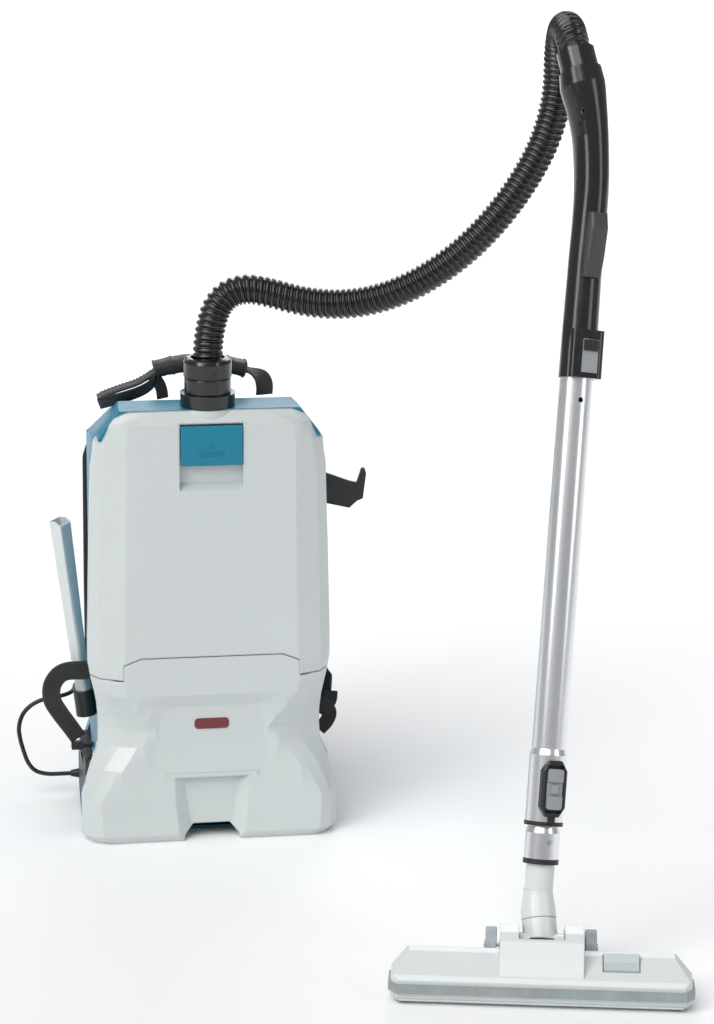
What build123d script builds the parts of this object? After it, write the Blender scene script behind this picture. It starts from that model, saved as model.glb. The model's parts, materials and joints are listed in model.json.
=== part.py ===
from build123d import *
from math import tan, radians, sqrt
import os

os.makedirs("parts", exist_ok=True)

# ---------------------------------------------------------------------------
# Driving dimensions, millimetres. Origin: centre of the pack's base on the
# floor. -Y is the front cover, +Y the wearer's back, +X the wearer's left.
# ---------------------------------------------------------------------------
WALL = 3.0            # moulded wall of the covers
GAP = 0.5             # parting gap between fixed mouldings
TOP = 490.0           # top of the housing
Y_SPLIT = -60.0       # parting plane between front cover and rear shell
Y_BACK = 85.0         # rear wall of the rear shell
PORT_Y = -62.0        # axis of the hose port
HOSE_D = 33.0         # hose, outside
CORD_D = 5.0          # control cord, outside
PIPE_D = 34.0         # outer pipe of the wand
INNER_D = 31.0        # telescoping inner pipe
WHEEL_R = 18.0        # rear wheel of the floor nozzle
ROLL_R = 5.0          # front roller
BATT = (74.0, 108.0, 70.0)   # battery pack, X Y Z


def save(part, label):
    part.label = label
    export_step(part, "parts/" + label + ".step")


# ---------------------------------------------------------------------------
# Front cover: half sections (x, y) at several heights. Every section has the
# same corners: centre recess edge, front face edge, bevel edge, side, rear.
# ---------------------------------------------------------------------------
RINGS = [
    # z, (xc, yc), (xf, yf), (xb, yb), (hw, ys)
    (0.0, (30, -97.0), (112, -97.0), (125, -92.0), (134.0, -82.0)),
    (9.0, (30, -102.5), (121, -103.0), (134, -95.0), (143.0, -80.0)),
    (50.0, (42, -100.0), (123, -102.5), (134, -94.0), (143.0, -78.0)),
    (84.0, (62, -95.0), (100, -98.5), (120, -88.5), (133.5, -74.0)),
    (110.0, (62, -93.8), (76, -96.0), (102, -84.0), (124.5, -70.5)),
    (129.0, (59, -93.8), (63, -95.0), (97, -82.0), (123.5, -68.5)),
    (142.0, (56, -93.8), (72, -97.0), (100, -83.0), (124.0, -69.0)),
    (157.0, (49, -93.8), (84, -98.5), (107, -86.0), (125.5, -70.0)),
    (171.0, (48, -99.9), (95, -99.8), (114, -90.0), (128.0, -72.0)),
    (186.0, (48, -100.0), (98, -100.0), (120, -90.0), (131.5, -72.0)),
    (204.0, (48, -100.0), (97, -100.0), (123, -89.5), (134.5, -71.0)),
    (235.0, (48, -100.0), (95, -100.0), (122, -89.0), (134.5, -71.0)),
    (340.0, (48, -100.0), (93, -100.0), (120, -89.0), (131.5, -71.0)),
    (425.0, (48, -100.0), (92, -100.0), (117, -90.0), (128.5, -73.0)),
    (455.0, (46, -100.0), (92, -100.0), (112, -93.0), (124.5, -78.0)),
    (476.0, (45, -100.0), (90, -100.0), (97, -98.0), (109.0, -90.0)),
    (490.0, (44, -85.0), (87, -85.0), (91, -84.0), (99.0, -81.0)),
]


def ring_points(row, inset, rear):
    z, c, f, b, s = row
    half = [
        (c[0], c[1] + inset),
        (f[0] - inset * 0.4, f[1] + inset),
        (b[0] - inset * 0.8, b[1] + inset * 0.8),
        (s[0] - inset, s[1] + inset * 0.4),
        (s[0] - inset, rear),
    ]
    return half + [(-x, y) for x, y in reversed(half)]


# ---------------------------------------------------------------- covers
with BuildPart() as cover_skin:
    for row in RINGS:
        with BuildSketch(Plane.XY.offset(row[0])):
            with BuildLine():
                Polyline(*ring_points(row, 0.0, Y_SPLIT - GAP), close=True)
            make_face()
    loft(ruled=True)

INNER = [RINGS[0]] + RINGS[2:15] + [(486.0, (44, -86.0), (84, -86.0), (90, -85.5), (98.0, -82.0))]
with BuildPart() as cover_core:
    for i, row in enumerate(INNER):
        z = row[0] + (WALL if i == 0 else 0)
        with BuildSketch(Plane.XY.offset(z)):
            with BuildLine():
                Polyline(*ring_points(row, WALL, Y_SPLIT + 5), close=True)
            make_face()
    loft(ruled=True)

# the seam between lid and lower cover, seen from the front
SEAM = [(-150, 190), (-97, 190), (-97, 207), (-78, 214.5), (78, 214.5), (97, 207), (97, 190), (150, 190)]
with BuildPart() as lid_zone:
    with BuildSketch(Plane.XZ.offset(50)):
        with BuildLine():
            Polyline(*([(x, z + 1.0) for x, z in SEAM] + [(150, 500), (-150, 500)]), close=True)
        make_face()
    extrude(amount=80)
with BuildPart() as low_zone:
    with BuildSketch(Plane.XZ.offset(50)):
        with BuildLine():
            Polyline(*([(x, z) for x, z in SEAM] + [(150, -5), (-150, -5)]), close=True)
        make_face()
    extrude(amount=80)

# band of the rear shell that reaches forward over the lid's rear edge
LIP_OUT = [(-121.4, 458), (-120.8, 460.5), (-98, 490), (98, 490), (120.8, 460.5), (121.4, 458)]
LIP_IN = [(116.8, 458), (116.3, 460.0), (95, 485.5), (-95, 485.5), (-116.3, 460.0), (-116.8, 458)]
with BuildPart() as lip_cut:
    with BuildSketch(Plane.XZ.offset(85.4)):
        with BuildLine():
            Polyline((-140, 457.5), (-140, 500), (140, 500), (140, 457.5), (116.2, 457.5),
                     (115.7, 459.7), (94.6, 485.0), (-94.6, 485.0), (-115.7, 459.7), (-116.2, 457.5), close=True)
        make_face()
    extrude(amount=-60)

with BuildPart() as upper_lid:
    add(cover_skin.part)
    add(cover_core.part, mode=Mode.SUBTRACT)
    # pocket block behind the latch
    with BuildSketch(Plane.XY.offset(402)):
        with Locations((0, -92.5)):
            Rectangle(76, 13)
    extrude(amount=76)
    add(lid_zone.part, mode=Mode.INTERSECT)
    add(lip_cut.part, mode=Mode.SUBTRACT)
    # raised seat in front of the hose port, and the half-round cut that clears it
    with BuildSketch(Plane.XY.offset(472)):
        with Locations((0, PORT_Y)):
            Circle(32.4)
        with Locations((0, -45.3)):
            Rectangle(120, 80, mode=Mode.SUBTRACT)
    extrude(amount=17.6)
    with BuildSketch(Plane.XY.offset(465)):
        with Locations((0, PORT_Y)):
            Circle(27.6)
    extrude(amount=40, mode=Mode.SUBTRACT)
    # latch pocket, with a ramp for the fingertips at its foot
    with BuildSketch(Plane.XZ.offset(90)):
        with BuildLine():
            Polyline((-34.3, 412), (34.3, 412), (34.3, 477.3), (-34.3, 477.3), close=True)
        make_face()
    extrude(amount=30, mode=Mode.SUBTRACT)
    with BuildSketch(Plane.YZ.offset(-34.3)):
        with BuildLine():
            Polyline((-90.0, 413), (-90.0, 410), (-101.0, 403), (-101.0, 413), close=True)
        make_face()
    extrude(amount=68.6, mode=Mode.SUBTRACT)
    # pin hole through the pocket's cheeks
    with BuildSketch(Plane.YZ.offset(-37)):
        with Locations((-95.5, 464)):
            Circle(1.55)
    extrude(amount=74, mode=Mode.SUBTRACT)
    # hinge lugs inside the lower corners
    for sx in (-1, 1):
        with BuildSketch(Plane.YZ.offset(sx * 98)):
            with Locations((-94.85, 199)):
                Rectangle(5.7, 14)
        extrude(amount=sx * 4.5)
        with BuildSketch(Plane.YZ.offset(sx * 96)):
            with Locations((-96.0, 196)):
                Circle(1.56)
        extrude(amount=sx * 6.6, mode=Mode.SUBTRACT)
save(upper_lid.part, "upper_lid")

with BuildPart() as lower_cover:
    add(cover_skin.part)
    add(cover_core.part, mode=Mode.SUBTRACT)
    add(low_zone.part, mode=Mode.INTERSECT)
    # shaped recess in the lower face with its floor plate
    with BuildSketch(Plane.XY.offset(0)):
        with Locations((0, -90.5)):
            Rectangle(104, 13)
    extrude(amount=79)
    with BuildSketch(Plane.XZ.offset(88.5)):
        with BuildLine():
            Polyline((-31, 71), (31, 71), (21, 6), (-21, 6), close=True)
        make_face()
    with BuildSketch(Plane.XZ.offset(106)):
        with BuildLine():
            Polyline((-53, 77), (53, 77), (37, -9), (-37, -9), close=True)
        make_face()
    loft(ruled=True, mode=Mode.SUBTRACT)
    # carrying notch at the foot
    with BuildSketch(Plane.XZ.offset(60)):
        with BuildLine():
            Polyline((-32, -1), (-30, 7), (-20, 17), (20, 17), (30, 7), (32, -1), close=True)
        make_face()
    extrude(amount=60, mode=Mode.SUBTRACT)
    # hinge pin bosses behind the tongue of the seam
    for sx in (-1, 1):
        with BuildSketch(Plane.YZ.offset(sx * 86)):
            with Locations((-94.7, 197)):
                Rectangle(8.0, 10)
        extrude(amount=sx * 10.4)
        with BuildSketch(Plane.YZ.offset(sx * 90)):
            with Locations((-96.0, 196)):
                Circle(1.5)
        extrude(amount=sx * 8, mode=Mode.SUBTRACT)
    # rolled relief under the lid's lower corners
    for sx in (-1, 1):
        with BuildSketch(Plane.YZ.offset(sx * 97.05)):
            with Locations((-96.0, 196)):
                Circle(6.9)
        extrude(amount=sx * 60, mode=Mode.SUBTRACT)
    # rear edge trimmed where the batteries come out
    with Locations((0, -62, 52)):
        Box(400, 6, 84, mode=Mode.SUBTRACT)
    for x in (-86, 86):
        with BuildSketch(Plane.XY.offset(-1)):
            with Locations((x, -84)):
                RectangleRounded(26.4, 14.4, 5.2)
        extrude(amount=3.1, mode=Mode.SUBTRACT)
save(lower_cover.part, "lower_cover")

with BuildPart() as hinge_pins:
    for sx in (-1, 1):
        with BuildSketch(Plane.YZ.offset(sx * 91)):
            with Locations((-96.0, 196)):
                Circle(1.5)
        extrude(amount=sx * 11)
save(hinge_pins.part, "hinge_pins")

with BuildPart() as badge_plate:
    with BuildSketch(Plane.XZ.offset(93.83)):
        with Locations((0, 136)):
            RectangleRounded(38, 12, 4)
    extrude(amount=1.2)
    fillet(badge_plate.faces().sort_by(Axis.Y)[0].edges(), 0.5)
save(badge_plate.part, "badge_plate")

# ---------------------------------------------------------------- latch
LATCH_PIVOT = (-95.5, 464.0)
with BuildPart() as latch:
    with BuildSketch(Plane.YZ.offset(-33.5)):
        with BuildLine():
            Polyline((-101.5, 433.0), (-100.0, 431.0), (-97.0, 431.0), (-97.0, 458.0), (-93.0, 460.5),
                     (-93.0, 467.5), (-97.5, 473.5), (-100.5, 475.5), (-101.8, 473.0), close=True)
        make_face()
    extrude(amount=67)
    # pivot stubs that run in the pocket's cheeks
    with BuildSketch(Plane.YZ.offset(-36.6)):
        with Locations(LATCH_PIVOT):
            Circle(1.5)
    extrude(amount=73.2)
    # drop-shaped open mark and two grip bars, raised
    with BuildSketch(Plane.XZ.offset(101.2)):
        with Locations((0, 446.5), (0, 443.0)):
            Rectangle(27, 1.5)
        with BuildLine():
            Polyline((-2.2, 451.5), (2.2, 451.5), (0, 457.5), close=True)
        make_face()
    extrude(amount=1.0)
    fillet(latch.edges().filter_by(Axis.X).group_by(Axis.Z)[0], 0.6)
save(latch.part, "latch")

# ---------------------------------------------------------------- rear shell


def shell_outline(hu, hb, ztop, cx, drop, inset, foot):
    half = [
        (0, foot), (hb - 9 - inset, foot), (hb - inset, 9 + inset * 0.5), (hb - inset, 50), (hu - 6 - inset, 108),
        (hu - 7 - inset, 160), (hu - inset, 205), (hu - inset, 430), (hu - 3 - inset, ztop - drop - inset * 0.4),
        (cx - inset * 0.5, ztop - inset), (0, ztop - inset),
    ]
    return half + [(-x, z) for x, z in reversed(half[1:-1])]


with BuildPart() as shell_skin:
    for y, hu, hb, zt, cx, dr in ((-60.0, 128, 141, 490, 98, 38), (-34.0, 128, 141, 490, 95, 40), (Y_BACK, 122, 136, 462, 88, 30)):
        with BuildSketch(Plane.XZ.offset(-y)):
            with BuildLine():
                Polyline(*shell_outline(hu, hb, zt, cx, dr, 0, 0), close=True)
            make_face()
    loft(ruled=True)
with BuildPart() as shell_core:
    for y, hu, hb, zt, cx, dr in ((-61.0, 128, 141, 490, 98, 38), (-34.0, 128, 141, 490, 95, 40), (Y_BACK - WALL, 122.2, 136.2, 462.6, 88, 30)):
        with BuildSketch(Plane.XZ.offset(-y)):
            with BuildLine():
                Polyline(*shell_outline(hu, hb, zt, cx, dr, WALL, WALL), close=True)
            make_face()
    loft(ruled=True)

BAY_X = 60.0          # inner end of each battery bay
with BuildPart() as rear_shell:
    add(shell_skin.part)
    add(shell_core.part, mode=Mode.SUBTRACT)
    # band over the lid's rear edge
    with BuildSketch(Plane.XZ.offset(60)):
        with BuildLine():
            Polyline(*(LIP_OUT + LIP_IN), close=True)
        make_face()
    extrude(amount=25)
    # bulkhead between dust chamber and motor compartment
    with Locations((0, 11.0, 208)):
        Box(243, 142.6, 4)
    # floor and cheeks of the battery bays
    for sx in (-1, 1):
        with BuildSketch(Plane.XY.offset(92)):
            with BuildLine():
                Polyline((sx * 56.6, -60.0), (sx * 125.4, -60.0), (sx * 125.4, -34.0), (sx * 119.8, 82.3), (sx * 56.6, 82.3), close=True)
            make_face()
        extrude(amount=3)
        with Locations((sx * (BAY_X - 2), 11.0, 49.0)):
            Box(3, 142.6, 92)
    # port seat in the roof
    with BuildSketch(Plane.XY.offset(485.6)):
        with Locations((0, PORT_Y)):
            Circle(36)
    extrude(amount=4.4)
    with BuildSketch(Plane.XY.offset(470)):
        with Locations((0, PORT_Y)):
            Circle(26.6)
    extrude(amount=40, mode=Mode.SUBTRACT)
    # nothing of the roof stands in front of the band, beside the port
    with Locations((0, -100, 480)):
        Box(300, 29.4, 60, mode=Mode.SUBTRACT)
    # motor inlet in the bulkhead
    with BuildSketch(Plane.XY.offset(200)):
        with Locations((0, 0)):
            Circle(34)
    extrude(amount=15, mode=Mode.SUBTRACT)
    # battery mouths through both side walls
    with Locations((0, 8, 49.5)):
        Box(400, 114, 79, mode=Mode.SUBTRACT)
    for sx in (-1, 1):
        with Locations((sx * (BAY_X - 2), 11.0, 49.0)):
            Box(3, 142.6, 92)
    for x in (-86, 86):
        with BuildSketch(Plane.XY.offset(-1)):
            with Locations((x, 60)):
                RectangleRounded(26.4, 14.4, 5.2)
        extrude(amount=3.1, mode=Mode.SUBTRACT)
    # exhaust slots in the back wall
    for i in range(5):
        with Locations((0, Y_BACK - 2, 118 + 8 * i)):
            Box(70, 12, 3.6, mode=Mode.SUBTRACT)
    # screw holes in the back wall
    with BuildSketch(Plane.XZ.offset(-(Y_BACK + 2))):
        with Locations((-105, 60), (105, 60), (-105, 215), (105, 215), (-92, 420), (92, 420)):
            Circle(2.1)
    extrude(amount=10, mode=Mode.SUBTRACT)
save(rear_shell.part, "rear_shell")

SCREW_WAND = Plane(origin=(285.8, -494.3, 158.3), x_dir=(0.98159, 0.11862, -0.14972), z_dir=(0.11160, 0.28000, 0.95349))
with BuildPart() as screws:
    for x, z in ((-105, 60), (105, 60), (-105, 215), (105, 215), (-92, 420), (92, 420)):
        with BuildSketch(Plane.XZ.offset(-(Y_BACK - 6))):
            with Locations((x, z)):
                Circle(1.95)
        extrude(amount=-6)
        with BuildSketch(Plane.XZ.offset(-Y_BACK)):
            with Locations((x, z)):
                Circle(3.8)
        extrude(amount=-2.2)
    # the handle's own screw
    with Locations(SCREW_WAND.offset(705).location):
        with Locations(Location((-20, -8.5, 0), (90, 0, 0))):
            Cylinder(2.0, 10)
save(screws.part, "screws")

with BuildPart() as rubber_feet:
    for x in (-86, 86):
        for y in (-84, 60):
            with BuildSketch(Plane.XY):
                with Locations((x, y)):
                    RectangleRounded(26, 14, 5)
            extrude(amount=2.0)
save(rubber_feet.part, "rubber_feet")

with BuildPart() as lid_gasket:
    with BuildSketch(Plane.XZ.offset(-Y_SPLIT - 0.1)):
        with BuildLine():
            Polyline((-124.9, 210.1), (124.9, 210.1), (124.9, 428), (120, 428), (120, 214.5), (-120, 214.5), (-120, 428), (-124.9, 428), close=True)
        make_face()
    extrude(amount=-4)
save(lid_gasket.part, "lid_gasket")

# ---------------------------------------------------------------- air path
with BuildPart() as port_collar:
    with BuildSketch(Plane.XY.offset(476)):
        with Locations((0, PORT_Y)):
            Circle(26.5)
    extrude(amount=14.1)
    with BuildSketch(Plane.XY.offset(490.1)):
        with Locations((0, PORT_Y)):
            Circle(30)
    extrude(amount=14.4)
    with BuildSketch(Plane.XY.offset(476)):
        with Locations((0, PORT_Y)):
            Circle(22.05)
    extrude(amount=40, mode=Mode.SUBTRACT)
save(port_collar.part, "port_collar")

with BuildPart() as inlet_cuff:
    with BuildSketch(Plane.XZ):
        with BuildLine():
            Polyline((15.0, 478), (22.0, 478), (22.0, 504.8), (25.3, 504.8), (25.3, 520.0), (24.9, 521.0), (26.2, 522.5),
                     (26.2, 538.0), (24.8, 541.5), (22.0, 543.0), (18.5, 543.0), (18.5, 528.0), (15.0, 528.0), close=True)
        make_face()
    revolve(axis=Axis.Z)
    with Locations((8, -26, 530)):
        Box(7, 3, 2.4, mode=Mode.SUBTRACT)
with BuildPart() as inlet_cuff_placed:
    add(inlet_cuff.part.moved(Location((0, PORT_Y, 0))))
save(inlet_cuff_placed.part, "inlet_cuff")

with BuildPart() as dust_bag:
    with BuildSketch(Plane.XY.offset(250)):
        with Locations((0, -12)):
            RectangleRounded(180, 100, 30)
    with BuildSketch(Plane.XY.offset(360)):
        with Locations((0, -12)):
            RectangleRounded(200, 124, 36)
    with BuildSketch(Plane.XY.offset(466)):
        with Locations((0, -18)):
            RectangleRounded(150, 96, 26)
    loft()
    # card collar glued to the bag's mouth
    with BuildSketch(Plane.XY.offset(465.9)):
        with Locations((0, -40)):
            RectangleRounded(120, 80, 8)
    extrude(amount=3.1)
    with BuildSketch(Plane.XY.offset(440)):
        with Locations((0, PORT_Y)):
            Circle(23)
    extrude(amount=40, mode=Mode.SUBTRACT)
save(dust_bag.part, "dust_bag")

with BuildPart() as filter_frame:
    with BuildSketch(Plane.XY.offset(211)):
        with Locations((0, 0)):
            RectangleRounded(200, 110, 6)
            Rectangle(184, 94, mode=Mode.SUBTRACT)
    extrude(amount=30)
save(filter_frame.part, "filter_frame")

PLEATS = 15
with BuildPart() as pleated_filter:
    with BuildSketch(Plane.XZ.offset(46)):
        with BuildLine():
            pts = []
            for i in range(PLEATS):
                x = -91 + i * 12.0
                pts += [(x, 213), (x + 6.0, 238)]
            pts += [(-91 + PLEATS * 12.0, 213)]
            top = [(x, z + 3.0) for x, z in reversed(pts)]
            Polyline(*(pts + top), close=True)
        make_face()
    extrude(amount=-92)
save(pleated_filter.part, "pleated_filter")

with BuildPart() as motor_housing:
    with BuildSketch(Plane.XY.offset(104)):
        with Locations((0, 0)):
            Circle(48)
    extrude(amount=92)
    with BuildSketch(Plane.XY.offset(108)):
        Circle(44)
    extrude(amount=85, mode=Mode.SUBTRACT)
    with BuildSketch(Plane.XY.offset(190)):
        Circle(24)
    extrude(amount=10, mode=Mode.SUBTRACT)
    with BuildSketch(Plane.XY.offset(108)):
        Circle(8)
        Circle(3.04, mode=Mode.SUBTRACT)
    extrude(amount=40)
    for k in range(3):
        with Locations((0, 0, 120 + 14 * k)):
            Box(22, 110, 6, mode=Mode.SUBTRACT)
    with BuildSketch(Plane.XY.offset(108)):
        Circle(8)
        Circle(3.04, mode=Mode.SUBTRACT)
    extrude(amount=40)
save(motor_housing.part, "motor_housing")

with BuildPart() as impeller:
    with BuildSketch(Plane.XY.offset(160)):
        Circle(38)
    extrude(amount=2)
    with BuildSketch(Plane.XY.offset(162)):
        Circle(9)
    extrude(amount=18)
    with BuildSketch(Plane.XY.offset(162)):
        with PolarLocations(23, 8):
            Rectangle(26, 1.6)
    extrude(amount=14)
    with BuildSketch(Plane.XY.offset(112)):
        Circle(3.0)
    extrude(amount=50)
save(impeller.part, "impeller")

with BuildPart() as motor_mounts:
    with BuildSketch(Plane.XY.offset(196.2)):
        Circle(50)
        Circle(30, mode=Mode.SUBTRACT)
    extrude(amount=9.6)
    with BuildSketch(Plane.XY.offset(96.0)):
        Rectangle(112, 100)
        Circle(20, mode=Mode.SUBTRACT)
    extrude(amount=7.8)
save(motor_mounts.part, "motor_mounts")

with BuildPart() as control_board:
    with BuildSketch(Plane.XZ.offset(-70)):
        with Locations((0, 150)):
            RectangleRounded(110, 80, 3)
    extrude(amount=-1.6)
    with BuildSketch(Plane.XZ.offset(-70)):
        with Locations((-30, 165), (20, 140), (32, 170)):
            Rectangle(16, 16)
    extrude(amount=8)
save(control_board.part, "control_board")

# ---------------------------------------------------------------- batteries
for sx, label in ((-1, "battery_right"), (1, "battery_left")):
    with BuildPart() as battery:
        with BuildSketch(Plane.XY.offset(12)):
            with Locations((sx * (BAY_X + 3 + BATT[0] / 2), 5)):
                RectangleRounded(BATT[0], BATT[1], 7)
        extrude(amount=BATT[2])
        chamfer(battery.faces().sort_by(Axis.Z)[-1].edges(), 3)
        # release tab recess on the outer end
        with Locations((sx * (BAY_X + 3 + BATT[0]), 5, 70)):
            Box(6, 40, 12, mode=Mode.SUBTRACT)
        # contact slots on the inner end
        with Locations((sx * (BAY_X + 3), -16, 50), (sx * (BAY_X + 3), 26, 50)):
            Box(12, 3, 24, mode=Mode.SUBTRACT)
    save(battery.part, label)

with BuildPart() as terminal_blocks:
    for sx in (-1, 1):
        with BuildSketch(Plane.YZ.offset(sx * (BAY_X - 0.5))):
            with Locations((5, 50)):
                Rectangle(60, 30)
        extrude(amount=sx * 2.6)
        with Locations((sx * (BAY_X + 4.6), -16, 50), (sx * (BAY_X + 4.6), 26, 50)):
            Box(5.2, 1.2, 20)
save(terminal_blocks.part, "terminal_blocks")

# ---------------------------------------------------------------- harness
with BuildPart() as back_pad:
    with BuildSketch(Plane.XZ.offset(-(Y_BACK + 2.4))):
        with BuildLine():
            Polyline((-112, 40), (112, 40), (126, 100), (126, 400), (112, 440), (-112, 440), (-126, 400), (-126, 100), close=True)
        make_face()
    extrude(amount=-20)
    chamfer(back_pad.faces().sort_by(Axis.Y)[-1].edges(), 7)
save(back_pad.part, "back_pad")

with BuildPart() as shoulder_straps:
    for sx in (-1, 1):
        with BuildSketch(Plane.YZ.offset(sx * 62 - 27)):
            with BuildLine():
                out = [(112, 448), (124, 452), (140, 438), (149, 392), (150, 300), (145, 220), (133, 168), (115, 150)]
                inn = [(108.2, 154), (125, 172), (137, 222), (143, 300), (142, 390), (134, 430), (121, 443), (112, 441)]
                Polyline(*(out + inn), close=True)
            make_face()
        extrude(amount=54)
save(shoulder_straps.part, "shoulder_straps")

with BuildPart() as waist_belt:
    with BuildSketch(Plane.XY.offset(92)):
        with BuildLine():
            Polyline((-126, 108.4), (128, 108.4), (150, 90), (158, 70), (162, 72), (154, 94), (131, 114), (-126, 114), close=True)
        make_face()
    extrude(amount=56)
    # the free end of the belt's webbing, folded forward on the right
    with BuildSketch(Plane.XZ.offset(-62)):
        with BuildLine():
            Polyline((141.5, 104), (154, 108), (164, 86), (143, 62), close=True)
        make_face()
    extrude(amount=-3)
save(waist_belt.part, "waist_belt")

with BuildPart() as belt_loop_strap:
    with BuildSketch(Plane.XZ.offset(24)):
        with BuildLine():
            Polyline((-119, 189), (-161, 187), (-175, 178), (-184, 161), (-181, 146), (-172, 121), (-158, 106),
                     (-150.0, 97.6), (-140.5, 97.6), (-152, 116), (-161, 140), (-164, 158), (-158, 166), (-119, 168), close=True)
        make_face()
    extrude(amount=2.4)
    add(shell_skin.part, mode=Mode.SUBTRACT)
save(belt_loop_strap.part, "belt_loop_strap")

with BuildPart() as strap_buckle:
    with BuildSketch(Plane.XZ.offset(22)):
        with Locations((-144.5, 92.8)):
            RectangleRounded(13, 9.4, 2)
        with Locations((-131, 92.8)):
            Rectangle(22, 5)
    extrude(amount=6)
    add(shell_skin.part, mode=Mode.SUBTRACT)
save(strap_buckle.part, "strap_buckle")

# carry strap: one arch of webbing over the roof, gripped by a padded wrap
CARRY = [(-76, 482), (-69, 498), (-48, 510), (-20, 516), (20, 516), (50, 508), (66, 503), (74, 494), (75, 480)]
with BuildPart() as carry_strap:
    with BuildSketch(Plane.XZ.offset(-18)):
        with BuildLine():
            Polyline((-112, 467), (-96, 485), (-70, 503), (-48, 511.5), (-20, 517.5), (20, 517.5), (52, 510), (68, 504.5), (77, 495),
                     (77, 479), (74, 479), (74, 494), (66, 502), (50, 507.5), (20, 514.5), (-20, 514.5), (-48, 508.5), (-68, 500), (-93, 483), (-109.5, 464), close=True)
        make_face()
    extrude(amount=-25)
save(carry_strap.part, "carry_strap")

with BuildPart() as carry_grip:
    with BuildSketch(Plane.XZ.offset(-15.5)):
        with BuildLine():
            Polyline((-49, 517), (-20, 523), (20, 523), (51, 516), (53, 502), (20, 509), (-20, 509), (-47, 502), close=True)
        make_face()
    extrude(amount=-30)
    with BuildSketch(Plane.XZ.offset(-17.6)):
        with BuildLine():
            Polyline((-72, 504.9), (-48, 511.9), (-20, 517.9), (20, 517.9), (72, 505.4), (72, 500.0), (50, 507.1), (20, 514.1), (-20, 514.1), (-48, 508.1), (-72, 497.5), close=True)
        make_face()
    extrude(amount=-25.8, mode=Mode.SUBTRACT)
save(carry_grip.part, "carry_grip")

# ---------------------------------------------------------------- accessories
with BuildPart() as side_hook:
    with BuildSketch(Plane.XZ.offset(-2)):
        with BuildLine():
            Polyline((124, 394), (141, 392.5), (167, 382.5), (175.5, 380.5), (180.5, 396.5), (184, 397.5), (186, 391), (182.5, 362), (176, 359.5),
                     (167, 351.5), (142, 357.5), (124, 358), close=True)
        make_face()
    extrude(amount=-5)
    fillet(side_hook.edges().filter_by(Axis.Y).sort_by(Axis.X)[-6:], 1.2)
    add(shell_skin.part, mode=Mode.SUBTRACT)
save(side_hook.part, "side_hook")

# crevice nozzle stored mouth up in a cup on the side
CREV = Plane(origin=(-132.5, -4, 128), x_dir=(0.76, -0.65, 0.09), z_dir=(-0.118, 0.0, 1.0))
with BuildPart() as crevice_nozzle:
    with BuildSketch(CREV):
        Circle(9)
    with BuildSketch(CREV.offset(34)):
        RectangleRounded(15, 14, 4)
    with BuildSketch(CREV.offset(224)):
        RectangleRounded(15.5, 20, 1.6)
    loft(ruled=True)
    with BuildSketch(CREV.offset(-1)):
        Circle(7.2)
    with BuildSketch(CREV.offset(34)):
        RectangleRounded(12, 11, 3)
    with BuildSketch(CREV.offset(225)):
        RectangleRounded(12.5, 17, 1)
    loft(ruled=True, mode=Mode.SUBTRACT)
    with Locations(CREV.offset(226).location):
        with Locations(Location((8, 0, 0), (0, 38, 0))):
            Box(40, 40, 12, mode=Mode.SUBTRACT)
save(crevice_nozzle.part, "crevice_nozzle")

with BuildPart() as crevice_holder:
    with BuildSketch(CREV.offset(-6)):
        Circle(11.6)
    extrude(amount=30)
    with BuildSketch(CREV.offset(-0.6)):
        Circle(9.06)
    extrude(amount=40, mode=Mode.SUBTRACT)
    with Locations((-123.0, 2, 138)):
        Box(18, 9, 16)
    with BuildSketch(CREV.offset(-0.6)):
        Circle(9.06)
    extrude(amount=40, mode=Mode.SUBTRACT)
    add(shell_skin.part, mode=Mode.SUBTRACT)
save(crevice_holder.part, "crevice_holder")

# ---------------------------------------------------------------- cords
HOSE_PTS = [
    (0.0, -62.0, 528.0), (0.0, -62.0, 549.0), (2.5, -62.2, 573.0), (9.0, -63.0, 597.0), (22.0, -64.4, 612.5),
    (42.0, -67.0, 618.5), (67.0, -70.7, 613.9), (97.0, -75.2, 605.4), (130.0, -83.5, 601.7), (165.0, -93.5, 605.4),
    (200.0, -105.0, 617.5), (234.5, -117.0, 638.0), (268.0, -130.5, 666.5), (297.8, -144.5, 702.0), (322.0, -157.5, 741.0),
    (340.0, -168.5, 780.0), (349.5, -177.0, 817.5), (352.6, -183.0, 850.0), (350.3, -192.7, 879.0), (348.7, -207.5, 901.4),
    (346.9, -229.5, 913.2), (346.0, -252.5, 912.5), (345.97, -269.49, 901.05), (348.83, -279.47, 883.96),
]
CORD_PTS = [
    (-146.0, 75.0, 23.0), (-158.0, 75.0, 23.0), (-172.5, 74.4, 23.2), (-187.0, 72.4, 28.0), (-195.5, 70.2, 39.5),
    (-200.0, 68.8, 54.0), (-204.1, 68.0, 70.0), (-205.8, 67.6, 85.0), (-200.5, 68.2, 101.5), (-188.5, 69.0, 112.3),
    (-173.0, 70.2, 117.6), (-156.0, 74.5, 118.0), (-143.5, 85.0, 118.2), (-138.5, 100.5, 118.4), (-137.2, 113.5, 118.6), (-131.5, 121.5, 118.8), (-122.0, 121.5, 118.8),
]


def radii(points, label):
    out = []
    for i in range(1, len(points) - 1):
        a = Vector(*points[i]) - Vector(*points[i - 1])
        b = Vector(*points[i + 1]) - Vector(*points[i])
        turn = a.get_angle(b)
        r = 0.45 * min(a.length, b.length) / tan(radians(turn / 2))
        out.append(r)
    print(label, "radii", [round(r, 1) for r in out])
    return out


def check_cord(part, points, d, label):
    e = [Vector(*p) for p in points]
    print(label, "volume", round(part.volume), "runs total", round(sum((b - a).length for a, b in zip(e, e[1:]))))


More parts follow.
